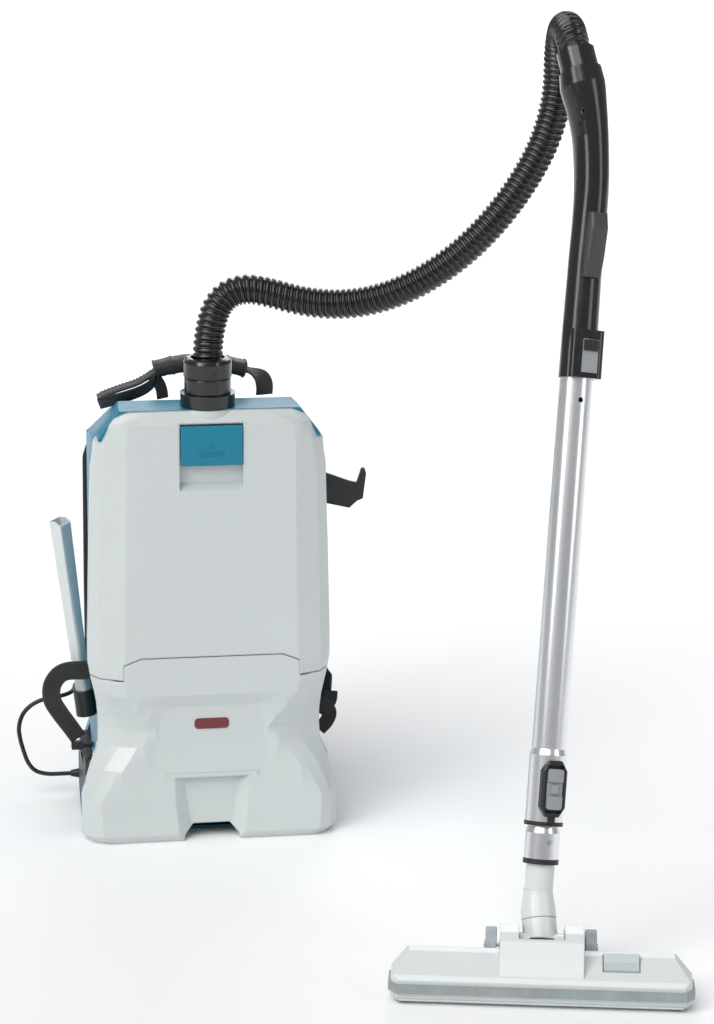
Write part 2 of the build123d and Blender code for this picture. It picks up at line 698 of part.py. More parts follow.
hose_r = radii(HOSE_PTS, "hose")
with BuildPart() as hose:
    with BuildLine():
        path = FilletPolyline(*HOSE_PTS, radius=hose_r)
    start = Plane(origin=path @ 0, z_dir=path % 0)
    with BuildSketch(start):
        Circle(HOSE_D / 2)
    sweep()
print("hose length", round(path.length, 1), "section x length", round(path.length * 3.14159 * HOSE_D ** 2 / 4))
check_cord(hose.part, HOSE_PTS, HOSE_D, "hose")
save(hose.part, "hose")

cord_r = radii(CORD_PTS, "control cord")
with BuildPart() as control_cord:
    with BuildLine():
        cpath = FilletPolyline(*CORD_PTS, radius=cord_r)
    cstart = Plane(origin=cpath @ 0, z_dir=cpath % 0)
    with BuildSketch(cstart):
        Circle(CORD_D / 2)
    sweep()
print("control cord length", round(cpath.length, 1), "section x length", round(cpath.length * 3.14159 * CORD_D ** 2 / 4))
check_cord(control_cord.part, CORD_PTS, CORD_D, "control cord")
save(control_cord.part, "control_cord")

# tapered strain relief on the shell's side, behind the battery mouth
with BuildPart() as cord_gland:
    with BuildSketch(Plane.YZ.offset(-132.0)):
        with Locations((75, 23)):
            Circle(6.4)
    with BuildSketch(Plane.YZ.offset(-146.0)):
        with Locations((75, 23)):
            Circle(3.6)
    loft()
    add(shell_skin.part, mode=Mode.SUBTRACT)
save(cord_gland.part, "cord_gland")

# control box clipped to the belt behind the pack, buttons facing the wearer
with BuildPart() as control_box:
    with BuildSketch(Plane.XZ.offset(-114.1)):
        with Locations((-109, 121)):
            RectangleRounded(26, 54, 5)
    extrude(amount=-17)
    chamfer(control_box.faces().sort_by(Axis.Y)[-1].edges(), 1.5)
    with BuildSketch(Plane.XZ.offset(-126)):
        with Locations((-109, 134), (-109, 112)):
            Circle(6.06)
    extrude(amount=-8, mode=Mode.SUBTRACT)
save(control_box.part, "control_box")
for label, z in (("power_button", 134), ("mode_button", 112)):
    with BuildPart() as btn:
        with BuildSketch(Plane.XZ.offset(-128.2)):
            with Locations((-109, z)):
                Circle(6.0)
        extrude(amount=-4.4)
    save(btn.part, label)

# ---------------------------------------------------------------- wand
WAND = Plane(origin=(285.8, -494.3, 158.3), x_dir=(0.98159, 0.11862, -0.14972), z_dir=(0.11160, 0.28000, 0.95349))

with BuildPart() as outer_pipe:
    for z0, z1, r in ((0, 66, 18.6), (72, 500, PIPE_D / 2)):
        with BuildSketch(WAND.offset(z0)):
            Circle(r)
        extrude(amount=z1 - z0)
    with BuildSketch(WAND.offset(66)):
        Circle(18.6)
    with BuildSketch(WAND.offset(72)):
        Circle(PIPE_D / 2)
    loft()
    with BuildSketch(WAND.offset(-1)):
        Circle(INNER_D / 2 + 0.4)
    extrude(amount=502, mode=Mode.SUBTRACT)
    with BuildSketch(WAND.offset(2)):
        Circle(17.3)
    extrude(amount=60, mode=Mode.SUBTRACT)
    # pin hole near the top and the slot of the lock stem, both in the front wall
    with Locations(WAND.offset(419).location):
        with Locations(Location((0, -16, 0), (90, 0, 0))):
            Cylinder(2.6, 8, mode=Mode.SUBTRACT)
save(outer_pipe.part, "outer_pipe")

with BuildPart() as flare_bush:
    with BuildSketch(WAND.offset(2.2)):
        Circle(17.25)
        Circle(INNER_D / 2 + 0.06, mode=Mode.SUBTRACT)
    extrude(amount=28)
    with BuildSketch(WAND.offset(-4)):
        Circle(19.4)
        Circle(INNER_D / 2 + 0.06, mode=Mode.SUBTRACT)
    extrude(amount=3.9)
    with BuildSketch(WAND.offset(-0.2)):
        Circle(15.85)
        Circle(INNER_D / 2 + 0.06, mode=Mode.SUBTRACT)
    extrude(amount=3)
save(flare_bush.part, "flare_bush")

with BuildPart() as inner_pipe:
    with BuildSketch(WAND.offset(-5)):
        Circle(INNER_D / 2)
        Circle(INNER_D / 2 - 1.1, mode=Mode.SUBTRACT)
    extrude(amount=415)
    with BuildSketch(WAND.offset(-37)):
        Circle(17.2)
        Circle(15.6, mode=Mode.SUBTRACT)
    extrude(amount=26)
    with BuildSketch(WAND.offset(-11)):
        Circle(17.2)
    with BuildSketch(WAND.offset(-5)):
        Circle(INNER_D / 2)
    loft()
    with BuildSketch(WAND.offset(-12)):
        Circle(14.4)
    extrude(amount=420, mode=Mode.SUBTRACT)
    with Locations(WAND.offset(-20).location):
        with Locations(Location((0, -16, 0), (90, 0, 0))):
            Cylinder(3.05, 6, mode=Mode.SUBTRACT)
save(inner_pipe.part, "inner_pipe")

with BuildPart() as cuff_ring:
    with BuildSketch(WAND.offset(-42)):
        Circle(17.8)
        Circle(14.3, mode=Mode.SUBTRACT)
    extrude(amount=4.9)
save(cuff_ring.part, "cuff_ring")

# telescope lock: an octagonal frame on the front of the flare, and its slider
def wand_front(y):
    o = WAND.from_local_coords(Vector(0, y, 0))
    n = WAND.from_local_coords(Vector(0, -1, 0)) - WAND.from_local_coords(Vector(0, 0, 0))
    return Plane(origin=o, x_dir=WAND.x_dir, z_dir=n)


with BuildPart() as slider_guide:
    with BuildSketch(wand_front(-15.0)):
        with BuildLine():
            Polyline((-7, 5.5), (7, 5.5), (13, 15), (13, 51), (7, 61), (-7, 61), (-13, 51), (-13, 15), close=True)
        make_face()
    extrude(amount=8.0)
    chamfer(slider_guide.faces().sort_by(Axis(wand_front(0).origin, wand_front(0).z_dir))[-1].edges(), 1.6)
    with BuildSketch(wand_front(-19.0)):
        with Locations((0, 33)):
            Rectangle(16.6, 47)
    extrude(amount=6.0, mode=Mode.SUBTRACT)
    with BuildSketch(wand_front(-17.0)):
        with Locations((0, 3)):
            Rectangle(7, 8)
    extrude(amount=4.0)
    with BuildSketch(WAND.offset(-6)):
        Circle(18.65)
    extrude(amount=74, mode=Mode.SUBTRACT)
    add(flare_bush.part, mode=Mode.SUBTRACT)
save(slider_guide.part, "slider_guide")

with BuildPart() as slider_lock:
    with BuildSketch(wand_front(-19.1)):
        with Locations((0, 33)):
            RectangleRounded(16.2, 40, 3)
    extrude(amount=6.2)
    with Locations(WAND.offset(33).location):
        with Locations((0, -25.3, 0)):
            Box(30, 4, 14, mode=Mode.SUBTRACT)
        with Locations((0, -23.6, 0)):
            Box(8, 2.6, 9)
save(slider_lock.part, "slider_lock")

# nozzle lock pin in the lower cuff
with BuildPart() as lock_pin:
    with Locations(WAND.offset(-20).location):
        with Locations(Location((0, -16.1, 0), (90, 0, 0))):
            Cylinder(3.0, 2.9)
save(lock_pin.part, "lock_pin")

# ---------------------------------------------------------------- handle
# centre line of the handle in the wand frame: x, y, z and the section's half width and depth
H_AXIS = [(0.6, 0.0, 441, 18.4, 18.7), (0.6, 0.0, 492, 18.0, 18.2), (0.8, 0.0, 545, 17.2, 17.4), (2.0, 0.0, 606, 17.2, 18.0), (1.2, 0.0, 640, 17.4, 20.0),
          (-3.6, 0.0, 684, 18.2, 21.0), (-9.5, 0.6, 712, 20.5, 22.5), (-15.0, 1.6, 733, 23.0, 24.0), (-18.7, 1.7, 747.5, 21.5, 22.0)]


def between(rows, step):
    """Rows resampled along z with a cubic that passes through every given row."""
    n = len(rows)
    slope = []
    for i in range(n):
        a, b = rows[max(0, i - 1)], rows[min(n - 1, i + 1)]
        slope.append([(b[c] - a[c]) / (b[2] - a[2]) for c in range(5)])
    slope[0] = [0.0] * 5
    out = []
    for i in range(n - 1):
        a, b = rows[i], rows[i + 1]
        h = b[2] - a[2]
        m = max(1, round(h / step))
        for j in range(m):
            t = j / m
            row = [(2 * t ** 3 - 3 * t ** 2 + 1) * a[c] + (t ** 3 - 2 * t ** 2 + t) * h * slope[i][c]
                   + (3 * t ** 2 - 2 * t ** 3) * b[c] + (t ** 3 - t ** 2) * h * slope[i + 1][c] for c in range(5)]
            row[2] = a[2] + h * t
            out.append(tuple(row))
    return out + [rows[-1]]


H_AXIS = H_AXIS[:2] + between(H_AXIS[2:], 12.0)
SLEEVE_DIR = Vector(-0.209, 0.274, 0.9386)


def handle_plane(k):
    x, y, z = H_AXIS[k][:3]
    a = H_AXIS[max(0, k - 1)]
    b = H_AXIS[min(len(H_AXIS) - 1, k + 1)]
    d = Vector(b[0] - a[0], b[1] - a[1], b[2] - a[2]).normalized() if k > 2 else Vector(0, 0, 1)
    turn = min(1.0, max(0.0, (z - 712.0) / 35.5))
    d = d * (1 - turn) + SLEEVE_DIR * turn
    o = WAND.from_local_coords(Vector(x, y, z))
    n = WAND.from_local_coords(d) - WAND.from_local_coords(Vector(0, 0, 0))
    xd = WAND.from_local_coords(Vector(1, 0, 0)) - WAND.from_local_coords(Vector(0, 0, 0))
    n = n.normalized()
    xd = (xd - n * xd.dot(n)).normalized()
    return Plane(origin=o, x_dir=xd, z_dir=n)


with BuildPart() as handle_skin:
    for k in (2, 1, 0):
        with BuildSketch(handle_plane(k)):
            Ellipse(H_AXIS[k][3], H_AXIS[k][4])
    loft(ruled=True)
    for k in range(2, len(H_AXIS)):
        with BuildSketch(handle_plane(k)):
            Ellipse(H_AXIS[k][3], H_AXIS[k][4])
    loft(ruled=True)
    # square clamp head over the pipe
    with BuildSketch(WAND.offset(441)):
        with Locations((3.0, -3)):
            RectangleRounded(35, 36, 6)
    extrude(amount=48)
with BuildPart() as handle_core:
    for k in range(2, len(H_AXIS)):
        with BuildSketch(handle_plane(k)):
            Ellipse(H_AXIS[k][3] - 3.0, H_AXIS[k][4] - 3.0)
    loft(ruled=True)
with BuildPart() as handle_bore:
    with BuildSketch(WAND.offset(430)):
        Circle(PIPE_D / 2 + 0.05)
    extrude(amount=70.5)
    with BuildSketch(WAND.offset(500)):
        Circle(13.2)
    extrude(amount=50)
    with BuildSketch(handle_plane(len(H_AXIS) - 1).offset(-12)):
        Circle(18.0)
    extrude(amount=30)

# the two shells meet in the plane through the bent centre line
SPLIT = Plane(origin=WAND.origin, x_dir=WAND.z_dir, z_dir=WAND.from_local_coords(Vector(0, 1, 0)) - WAND.origin)
for side, label in ((-1, "handle_front_shell"), (1, "handle_rear_shell")):
    with BuildPart() as half:
        add(handle_skin.part)
        add(handle_core.part, mode=Mode.SUBTRACT)
        add(handle_bore.part, mode=Mode.SUBTRACT)
        with BuildSketch(SPLIT.offset(side * 0.05)):
            with Locations((600, 0)):
                Rectangle(500, 200)
        extrude(amount=side * 60, mode=Mode.INTERSECT)
        if side < 0:
            # window for the release button
            with Locations(WAND.offset(463).location):
                with Locations((5.0, -22, 0)):
                    Box(17.2, 17, 34.2, mode=Mode.SUBTRACT)
            # screw seat
            with Locations(WAND.offset(705).location):
                with Locations(Location((-20, -10, 0), (90, 0, 0))):
                    Cylinder(2.05, 60, mode=Mode.SUBTRACT)
    save(half.part, label)

with BuildPart() as release_button:
    with Locations(WAND.offset(463).location):
        with Locations((5.0, -20.8, 10.5)):
            Box(16.8, 2.4, 12.0)
        with Locations((5.0, -20.3, -5.9)):
            Box(16.8, 1.4, 21.6)
save(release_button.part, "release_button")

with BuildPart() as hand_guard:
    with BuildSketch(WAND.offset(541)):
        with Locations((1.6, -17)):
            RectangleRounded(18, 10, 4)
    with BuildSketch(WAND.offset(560)):
        with Locations((1.8, -19)):
            RectangleRounded(19.5, 15, 5)
    with BuildSketch(WAND.offset(590)):
        with Locations((2.6, -20.5)):
            RectangleRounded(20, 17, 5)
    with BuildSketch(WAND.offset(606)):
        with Locations((3.4, -17)):
            RectangleRounded(19, 12, 4)
    loft(ruled=True)
    add(handle_skin.part, mode=Mode.SUBTRACT)
guard_solid = hand_guard.part.solids().sort_by(SortBy.VOLUME)[-1]
with BuildPart() as hand_guard_one:
    add(guard_solid)
save(hand_guard_one.part, "hand_guard")

# swivelling hose sleeve on the top of the handle
SLEEVE = Plane(origin=handle_plane(len(H_AXIS) - 1).origin, x_dir=handle_plane(len(H_AXIS) - 1).x_dir, z_dir=handle_plane(len(H_AXIS) - 1).z_dir)
with BuildPart() as hose_sleeve:
    with BuildSketch(SLEEVE.offset(0.3)):
        Circle(19.2)
        Circle(13.5, mode=Mode.SUBTRACT)
    extrude(amount=22)
    with BuildSketch(SLEEVE.offset(12.3)):
        Circle(17.2)
    extrude(amount=12, mode=Mode.SUBTRACT)
    with BuildSketch(SLEEVE.offset(-11.8)):
        Circle(17.95)
        Circle(13.5, mode=Mode.SUBTRACT)
    extrude(amount=12.2)
save(hose_sleeve.part, "hose_sleeve")
print("sleeve seat", SLEEVE.offset(12.3).origin, SLEEVE.offset(32.3).origin, "dir", SLEEVE.z_dir)

# ---------------------------------------------------------------- floor nozzle
NOZ = Plane(origin=(276.1, -543.3, 0), x_dir=(0.977, -0.213, 0), z_dir=(0, 0, 1))
NOZ_YZ = Plane(origin=NOZ.origin, x_dir=NOZ.y_dir, z_dir=NOZ.x_dir)
NECK_DIR = (0.0144, 0.5400, 0.8416)
PIVOT = (276.1, -543.3, 40.0)
TILT = Plane(origin=PIVOT, x_dir=NOZ.x_dir, z_dir=NECK_DIR)

with BuildPart() as nozzle_plan:
    with BuildSketch(NOZ.offset(0)):
        with BuildLine():
            Polyline((-140, -47.5), (140, -47.5), (147, -41), (147, -16), (131, 3), (44, 9), (-44, 9), (-131, 3), (-147, -16), (-147, -41), close=True)
        make_face()
    extrude(amount=60)
with BuildPart() as nozzle_bar:
    with BuildSketch(NOZ_YZ.offset(-149)):
        with BuildLine():
            Polyline((-47.5, 7), (-47.5, 26), (-44, 30.5), (-12, 42.5), (0, 42.5), (8, 37), (8, 7), close=True)
        make_face()
    extrude(amount=298)
    add(nozzle_plan.part, mode=Mode.INTERSECT)
with BuildPart() as nozzle_housing:
    add(nozzle_bar.part)
    # raised centre with two ears beside the elbow
    with BuildSketch(NOZ_YZ.offset(-41.5)):
        with BuildLine():
            Polyline((-44, 29), (-34, 43), (-23, 60), (-12, 65), (6, 66), (18, 61), (40, 40), (76, 32), (84, 22), (84, 8), (0, 7), (-44, 7), close=True)
        make_face()
    extrude(amount=83)
    # hollow
    with BuildSketch(NOZ_YZ.offset(-126)):
        with BuildLine():
            Polyline((-44.5, 6), (-44.5, 26), (-11.5, 39.2), (-1, 39.2), (5.0, 34.8), (5.0, 6), close=True)
        make_face()
    extrude(amount=252, mode=Mode.SUBTRACT)
    with BuildSketch(NOZ_YZ.offset(-143)):
        with BuildLine():
            Polyline((-44.5, 6), (-44.5, 18), (-40, 22.0), (5.0, 22), (5.0, 6), close=True)
        make_face()
    extrude(amount=286, mode=Mode.SUBTRACT)
    # sloping ends of the head
    with BuildSketch(Plane(origin=NOZ.origin, x_dir=NOZ.x_dir, z_dir=-NOZ.y_dir).offset(-40)):
        with BuildLine():
            Polyline((129, 44), (150, 27), (150, 60), (129, 60), close=True)
        make_face()
        with BuildLine():
            Polyline((-129, 44), (-150, 27), (-150, 60), (-129, 60), close=True)
        make_face()
    extrude(amount=100, mode=Mode.SUBTRACT)
    with BuildSketch(NOZ_YZ.offset(-38.5)):
        with BuildLine():
            Polyline((-41, 27), (-31.5, 41.5), (-21.5, 57.0), (-11, 61.8), (5, 62.6), (17, 57.8), (38, 37), (74, 29), (81, 20), (81, 6), (-41, 6), close=True)
        make_face()
    extrude(amount=77, mode=Mode.SUBTRACT)
    # slot for the elbow, open upwards and to the rear
    with Locations(NOZ.offset(45).location):
        with Locations((0, 31.25, 0)):
            Box(45, 101.5, 62, mode=Mode.SUBTRACT)
    # elbow bearings in the ears
    for sx in (-1, 1):
        with BuildSketch(NOZ_YZ.offset(sx * 22.6)):
            with Locations((0, 40)):
                Circle(11)
        extrude(amount=sx * 19)
        with BuildSketch(NOZ_YZ.offset(sx * 22.5)):
            with Locations((0, 40)):
                Circle(6.06)
        extrude(amount=sx * 12, mode=Mode.SUBTRACT)
        # wheel axle bosses
        with BuildSketch(NOZ_YZ.offset(sx * 38)):
            with Locations((66, WHEEL_R)):
                Circle(5)
        extrude(amount=sx * 4)
        with BuildSketch(NOZ_YZ.offset(sx * 37)):
            with Locations((66, WHEEL_R)):
                Circle(2.0)
        extrude(amount=sx * 12, mode=Mode.SUBTRACT)
        # cheek of the slot
        with BuildSketch(NOZ_YZ.offset(sx * 22.6)):
            with BuildLine():
                Polyline((-21, 30), (-21, 55), (-10, 60), (4, 61), (16, 56), (34, 39.6), (70, 31), (70, 8), (8, 8), (8, 30), close=True)
            make_face()
            with Locations((0, 40)):
                Circle(6.06, mode=Mode.SUBTRACT)
        extrude(amount=sx * 2.4)
    for x in (57.5, 96.4):
        with Locations(NOZ.location):
            with Locations((x + 1.0, -20, 32.6)):
                Box(2.8, 9, 9.6)
    # pedal well in the top
    with Locations(NOZ.offset(36).location):
        with Locations((78, -20, 0)):
            Box(36.4, 24.4, 30, mode=Mode.SUBTRACT)
    with BuildSketch(NOZ_YZ.offset(54)):
        with Locations((-20, 34.2)):
            Circle(1.56)
    extrude(amount=48, mode=Mode.SUBTRACT)
save(nozzle_housing.part, "nozzle_housing")

with BuildPart() as sole_plate:
    with BuildSketch(NOZ.offset(4)):
        with BuildLine():
            Polyline((-138, -47.0), (138, -47.0), (144, -41), (144, -16), (129, 2), (44, 8), (-44, 8), (-129, 2), (-144, -16), (-144, -41), close=True)
        make_face()
        with Locations((0, -14)):
            Rectangle(250, 14, mode=Mode.SUBTRACT)
        with Locations((0, -33)):
            Rectangle(246, 7, mode=Mode.SUBTRACT)
        for sx in (-1, 1):
            with Locations((sx * 134, -38.5)):
                Rectangle(12.6, 12, mode=Mode.SUBTRACT)
    extrude(amount=2.8)
save(sole_plate.part, "sole_plate")

with BuildPart() as bumper_strip:
    with BuildSketch(NOZ.offset(14)):
        with BuildLine():
            Polyline((-141, -52), (141, -52), (149.5, -43), (149.5, -14), (147.2, -14), (147.2, -41.2), (140.2, -47.7), (-140.2, -47.7), (-147.2, -41.2), (-147.2, -14),
                     (-149.5, -14), (-149.5, -43), close=True)
        make_face()
    extrude(amount=8)
save(bumper_strip.part, "bumper_strip")

with BuildPart() as brush_strip:
    with BuildSketch(NOZ.offset(2.2)):
        with Locations((0, -33)):
            Rectangle(242, 5)
    extrude(amount=14)
save(brush_strip.part, "brush_strip")

with BuildPart() as rocker_pedal:
    with BuildSketch(NOZ_YZ.offset(60.5)):
        with BuildLine():
            Polyline((-31, 34.0), (-31, 36.6), (-22, 40.6), (-17, 46.0), (-12, 46.0), (-9, 42.5), (-9, 39.0), (-16, 32.3), (-24, 32.3), close=True)
        make_face()
    extrude(amount=35)
    with BuildSketch(NOZ_YZ.offset(57.4)):
        with Locations((-20, 34.2)):
            Circle(1.5)
    extrude(amount=41.2)
save(rocker_pedal.part, "rocker_pedal")

with BuildPart() as elbow:
    # barrel on the tilt axis
    with BuildSketch(Plane(origin=PIVOT, x_dir=NOZ.y_dir, z_dir=NOZ.x_dir).offset(-22)):
        Circle(18.5)
    extrude(amount=44)
    with BuildSketch(Plane(origin=PIVOT, x_dir=NOZ.y_dir, z_dir=NOZ.x_dir).offset(-34)):
        Circle(6.0)
    extrude(amount=68)
    with BuildSketch(TILT.offset(0)):
        Circle(17.0)
    extrude(amount=32)
    with BuildSketch(TILT.offset(-4)):
        Circle(13.2)
    extrude(amount=60, mode=Mode.SUBTRACT)
    # mouth of the barrel, down and forward into the head
    with BuildSketch(Plane(origin=PIVOT, x_dir=NOZ.x_dir, z_dir=(0.17, 0.78, -0.6))):
        Rectangle(24, 20)
    extrude(amount=-40, mode=Mode.SUBTRACT)
save(elbow.part, "elbow")

with BuildPart() as nozzle_neck:
    with BuildSketch(TILT.offset(32.3)):
        Circle(17.3)
    extrude(amount=10)
    with BuildSketch(TILT.offset(42.3)):
        Circle(17.3)
    with BuildSketch(WAND.offset(-68)):
        with Locations((-0.5, 0.0)):
            Circle(14.6)
    loft()
    with BuildSketch(WAND.offset(-68)):
        Circle(14.2)
    extrude(amount=25.8)
    with BuildSketch(WAND.offset(-42.2)):
        Circle(14.1)
    extrude(amount=36)
    # air way
    with BuildSketch(TILT.offset(26)):
        Circle(13.2)
    extrude(amount=16.4, mode=Mode.SUBTRACT)
    with BuildSketch(TILT.offset(42.3)):
        Circle(13.2)
    with BuildSketch(WAND.offset(-68)):
        Circle(11.6)
    loft(mode=Mode.SUBTRACT)
    with BuildSketch(WAND.offset(-68.2)):
        Circle(11.6)
    extrude(amount=70, mode=Mode.SUBTRACT)
    with Locations(WAND.offset(-20).location):
        with Locations(Location((0, -13, 0), (90, 0, 0))):
            Cylinder(3.6, 8, mode=Mode.SUBTRACT)
save(nozzle_neck.part, "nozzle_neck")

for sx, label in ((-1, "wheel_right"), (1, "wheel_left")):
    with BuildPart() as wheel:
        with BuildSketch(NOZ_YZ.offset(sx * 44.5)):
            with Locations((66, WHEEL_R)):
                Circle(WHEEL_R)
                Circle(2.04, mode=Mode.SUBTRACT)
        extrude(amount=sx * 11.5)
        fillet(wheel.edges().filter_by(GeomType.CIRCLE).sort_by(SortBy.RADIUS)[-2:], 1.6)
    save(wheel.part, label)
with BuildPart() as nozzle_axles:
    for sx in (-1, 1):
        with BuildSketch(NOZ_YZ.offset(sx * 38.2)):
            with Locations((66, WHEEL_R)):
                Circle(1.98)
        extrude(amount=sx * 18.2)
        with BuildSketch(NOZ_YZ.offset(sx * 56.4)):
            with Locations((66, WHEEL_R)):
                Circle(4)
        extrude(amount=sx * 1.2)
        with BuildSketch(NOZ_YZ.offset(sx * 134 - 6)):
            with Locations((-38.5, ROLL_R)):
                Circle(1.5)
        extrude(amount=12)
save(nozzle_axles.part, "nozzle_axles")
with BuildPart() as front_rollers:
    for sx in (-1, 1):
        with BuildSketch(NOZ_YZ.offset(sx * 134 - 3.5)):
            with Locations((-38.5, ROLL_R)):
                Circle(ROLL_R)
                Circle(1.54, mode=Mode.SUBTRACT)
        extrude(amount=7)
save(front_rollers.part, "front_rollers")
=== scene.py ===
import bpy
import bmesh
import json
import math
import random
from mathutils import Vector, Matrix


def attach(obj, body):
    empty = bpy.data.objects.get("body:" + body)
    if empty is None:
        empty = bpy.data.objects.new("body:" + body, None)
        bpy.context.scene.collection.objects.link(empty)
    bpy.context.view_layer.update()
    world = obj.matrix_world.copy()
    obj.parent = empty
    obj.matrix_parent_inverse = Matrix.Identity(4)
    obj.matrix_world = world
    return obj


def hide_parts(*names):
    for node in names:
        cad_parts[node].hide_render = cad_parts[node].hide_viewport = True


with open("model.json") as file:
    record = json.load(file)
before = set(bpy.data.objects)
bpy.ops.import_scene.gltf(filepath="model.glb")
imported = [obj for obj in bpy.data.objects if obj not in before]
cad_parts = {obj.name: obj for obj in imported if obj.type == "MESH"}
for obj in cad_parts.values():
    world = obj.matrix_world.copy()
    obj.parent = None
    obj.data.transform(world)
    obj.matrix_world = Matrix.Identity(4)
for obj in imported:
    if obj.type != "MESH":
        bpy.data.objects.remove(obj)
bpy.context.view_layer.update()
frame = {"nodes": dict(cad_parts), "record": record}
random.seed(7)
V = Vector
scene = bpy.context.scene


# ------------------------------------------------------------------ camera
def rad(a):
    return math.radians(a)


head, pitch, roll = rad(9.251), rad(15.095), rad(0.5976)
fw = V((math.sin(head) * math.cos(pitch), math.cos(head) * math.cos(pitch), -math.sin(pitch)))
rt = V((math.cos(head), -math.sin(head), 0))
up = rt.cross(fw)
rt2 = rt * math.cos(roll) + up * math.sin(roll)
up2 = up * math.cos(roll) - rt * math.sin(roll)
cam_data = bpy.data.cameras.new("camera")
cam_data.lens = 105.47
cam_data.sensor_width = 36
cam_data.clip_start = 0.05
cam_data.clip_end = 60
cam = bpy.data.objects.new("camera", cam_data)
scene.collection.objects.link(cam)
m = Matrix((rt2, up2, -fw)).transposed().to_4x4()
m.translation = V((-0.349075, -3.22135, 1.227226))
cam.matrix_world = m
scene.camera = cam


# ------------------------------------------------------------------ node helpers
class Nodes:
    """A small helper that builds one material's node tree."""

    def __init__(self, name):
        self.mat = bpy.data.materials.new(name)
        self.mat.use_nodes = True
        self.nt = self.mat.node_tree
        self.nt.nodes.clear()
        self.out = self.add("ShaderNodeOutputMaterial")
        self.bsdf = self.add("ShaderNodeBsdfPrincipled")
        self.link(self.bsdf.outputs[0], self.out.inputs[0])
        self.tc = self.add("ShaderNodeTexCoord")

    def add(self, kind, **props):
        n = self.nt.nodes.new(kind)
        for k, v in props.items():
            setattr(n, k, v)
        return n

    def link(self, a, b):
        self.nt.links.new(a, b)

    def setin(self, node, **vals):
        for k, v in vals.items():
            node.inputs[k.replace("_", " ")].default_value = v
        return node

    def noise(self, scale, detail=2.0, rough=0.5, coord=None, dist=0.0):
        n = self.add("ShaderNodeTexNoise")
        n.inputs["Scale"].default_value = scale
        n.inputs["Detail"].default_value = detail
        n.inputs["Roughness"].default_value = rough
        n.inputs["Distortion"].default_value = dist
        self.link(coord or self.tc.outputs["Object"], n.inputs["Vector"])
        return n.outputs["Fac"]

    def math(self, op, a, b=None, clamp=False):
        n = self.add("ShaderNodeMath", operation=op, use_clamp=clamp)
        for i, v in enumerate((a, b)):
            if v is None:
                continue
            if isinstance(v, (int, float)):
                n.inputs[i].default_value = v
            else:
                self.link(v, n.inputs[i])
        return n.outputs[0]

    def remap(self, v, a, b, c, d):
        n = self.add("ShaderNodeMapRange")
        self.link(v, n.inputs["Value"])
        for k, x in (("From Min", a), ("From Max", b), ("To Min", c), ("To Max", d)):
            n.inputs[k].default_value = x
        return n.outputs[0]

    def mix(self, fac, a, b):
        n = self.add("ShaderNodeMix", data_type="RGBA")
        for sock, v in ((n.inputs[0], fac), (n.inputs[6], a), (n.inputs[7], b)):
            if isinstance(v, (int, float)):
                sock.default_value = v
            elif isinstance(v, tuple):
                sock.default_value = (*v[:3], 1)
            else:
                self.link(v, sock)
        return n.outputs[2]

    def bump(self, height, strength, distance, normal=None):
        n = self.add("ShaderNodeBump")
        n.inputs["Strength"].default_value = strength
        n.inputs["Distance"].default_value = distance
        self.link(height, n.inputs["Height"])
        if normal is not None:
            self.link(normal, n.inputs["Normal"])
        return n.outputs[0]

    def edge(self, radius):
        """Rounded-edge normal and a mask that is high along the edges."""
        b = self.add("ShaderNodeBevel", samples=4)
        b.inputs["Radius"].default_value = radius
        g = self.add("ShaderNodeNewGeometry")
        d = self.add("ShaderNodeVectorMath", operation="DOT_PRODUCT")
        self.link(b.outputs[0], d.inputs[0])
        self.link(g.outputs["Normal"], d.inputs[1])
        return b.outputs[0], self.remap(d.outputs["Value"], 1.0, 0.8, 0.0, 1.0)


def shade(c, k):
    return tuple(min(1.0, max(0.0, x * k)) for x in c[:3])


MATS = {}


def plastic(name, rgb, rough=0.35, grain=1500, bump=0.12, edge=0.0012, coat=0.0, vary=0.04, wear=0.25, wear_rgb=None, ior=1.5, rvar=0.04):
    if name in MATS:
        return MATS[name]
    n = Nodes(name)
    big = n.noise(5.0, 3)
    mid = n.noise(70.0, 3)
    fac = n.math("ADD", n.math("MULTIPLY", big, 0.6), n.math("MULTIPLY", mid, 0.4))
    col = n.mix(n.remap(fac, 0.35, 0.65, 0, 1), shade(rgb, 1 - vary), shade(rgb, 1 + vary))
    nrm, mask = n.edge(edge)
    scuff = n.noise(260.0, 4, 0.7)
    wmask = n.math("MULTIPLY", mask, n.remap(scuff, 0.45, 0.7, 0.0, wear), True)
    col = n.mix(wmask, col, wear_rgb or shade(rgb, 1.35 if sum(rgb) < 1 else 0.82))
    n.link(col, n.bsdf.inputs["Base Color"])
    r = n.math("ADD", n.remap(mid, 0.3, 0.7, rough - rvar, rough + rvar), n.math("MULTIPLY", wmask, 0.2), True)
    n.link(r, n.bsdf.inputs["Roughness"])
    n.bsdf.inputs["IOR"].default_value = ior
    n.bsdf.inputs["Coat Weight"].default_value = coat
    n.bsdf.inputs["Coat Roughness"].default_value = 0.12
    h = n.noise(grain, 2, 0.6)
    n.link(n.bump(h, bump, 0.0003, nrm), n.bsdf.inputs["Normal"])
    MATS[name] = n.mat
    return n.mat


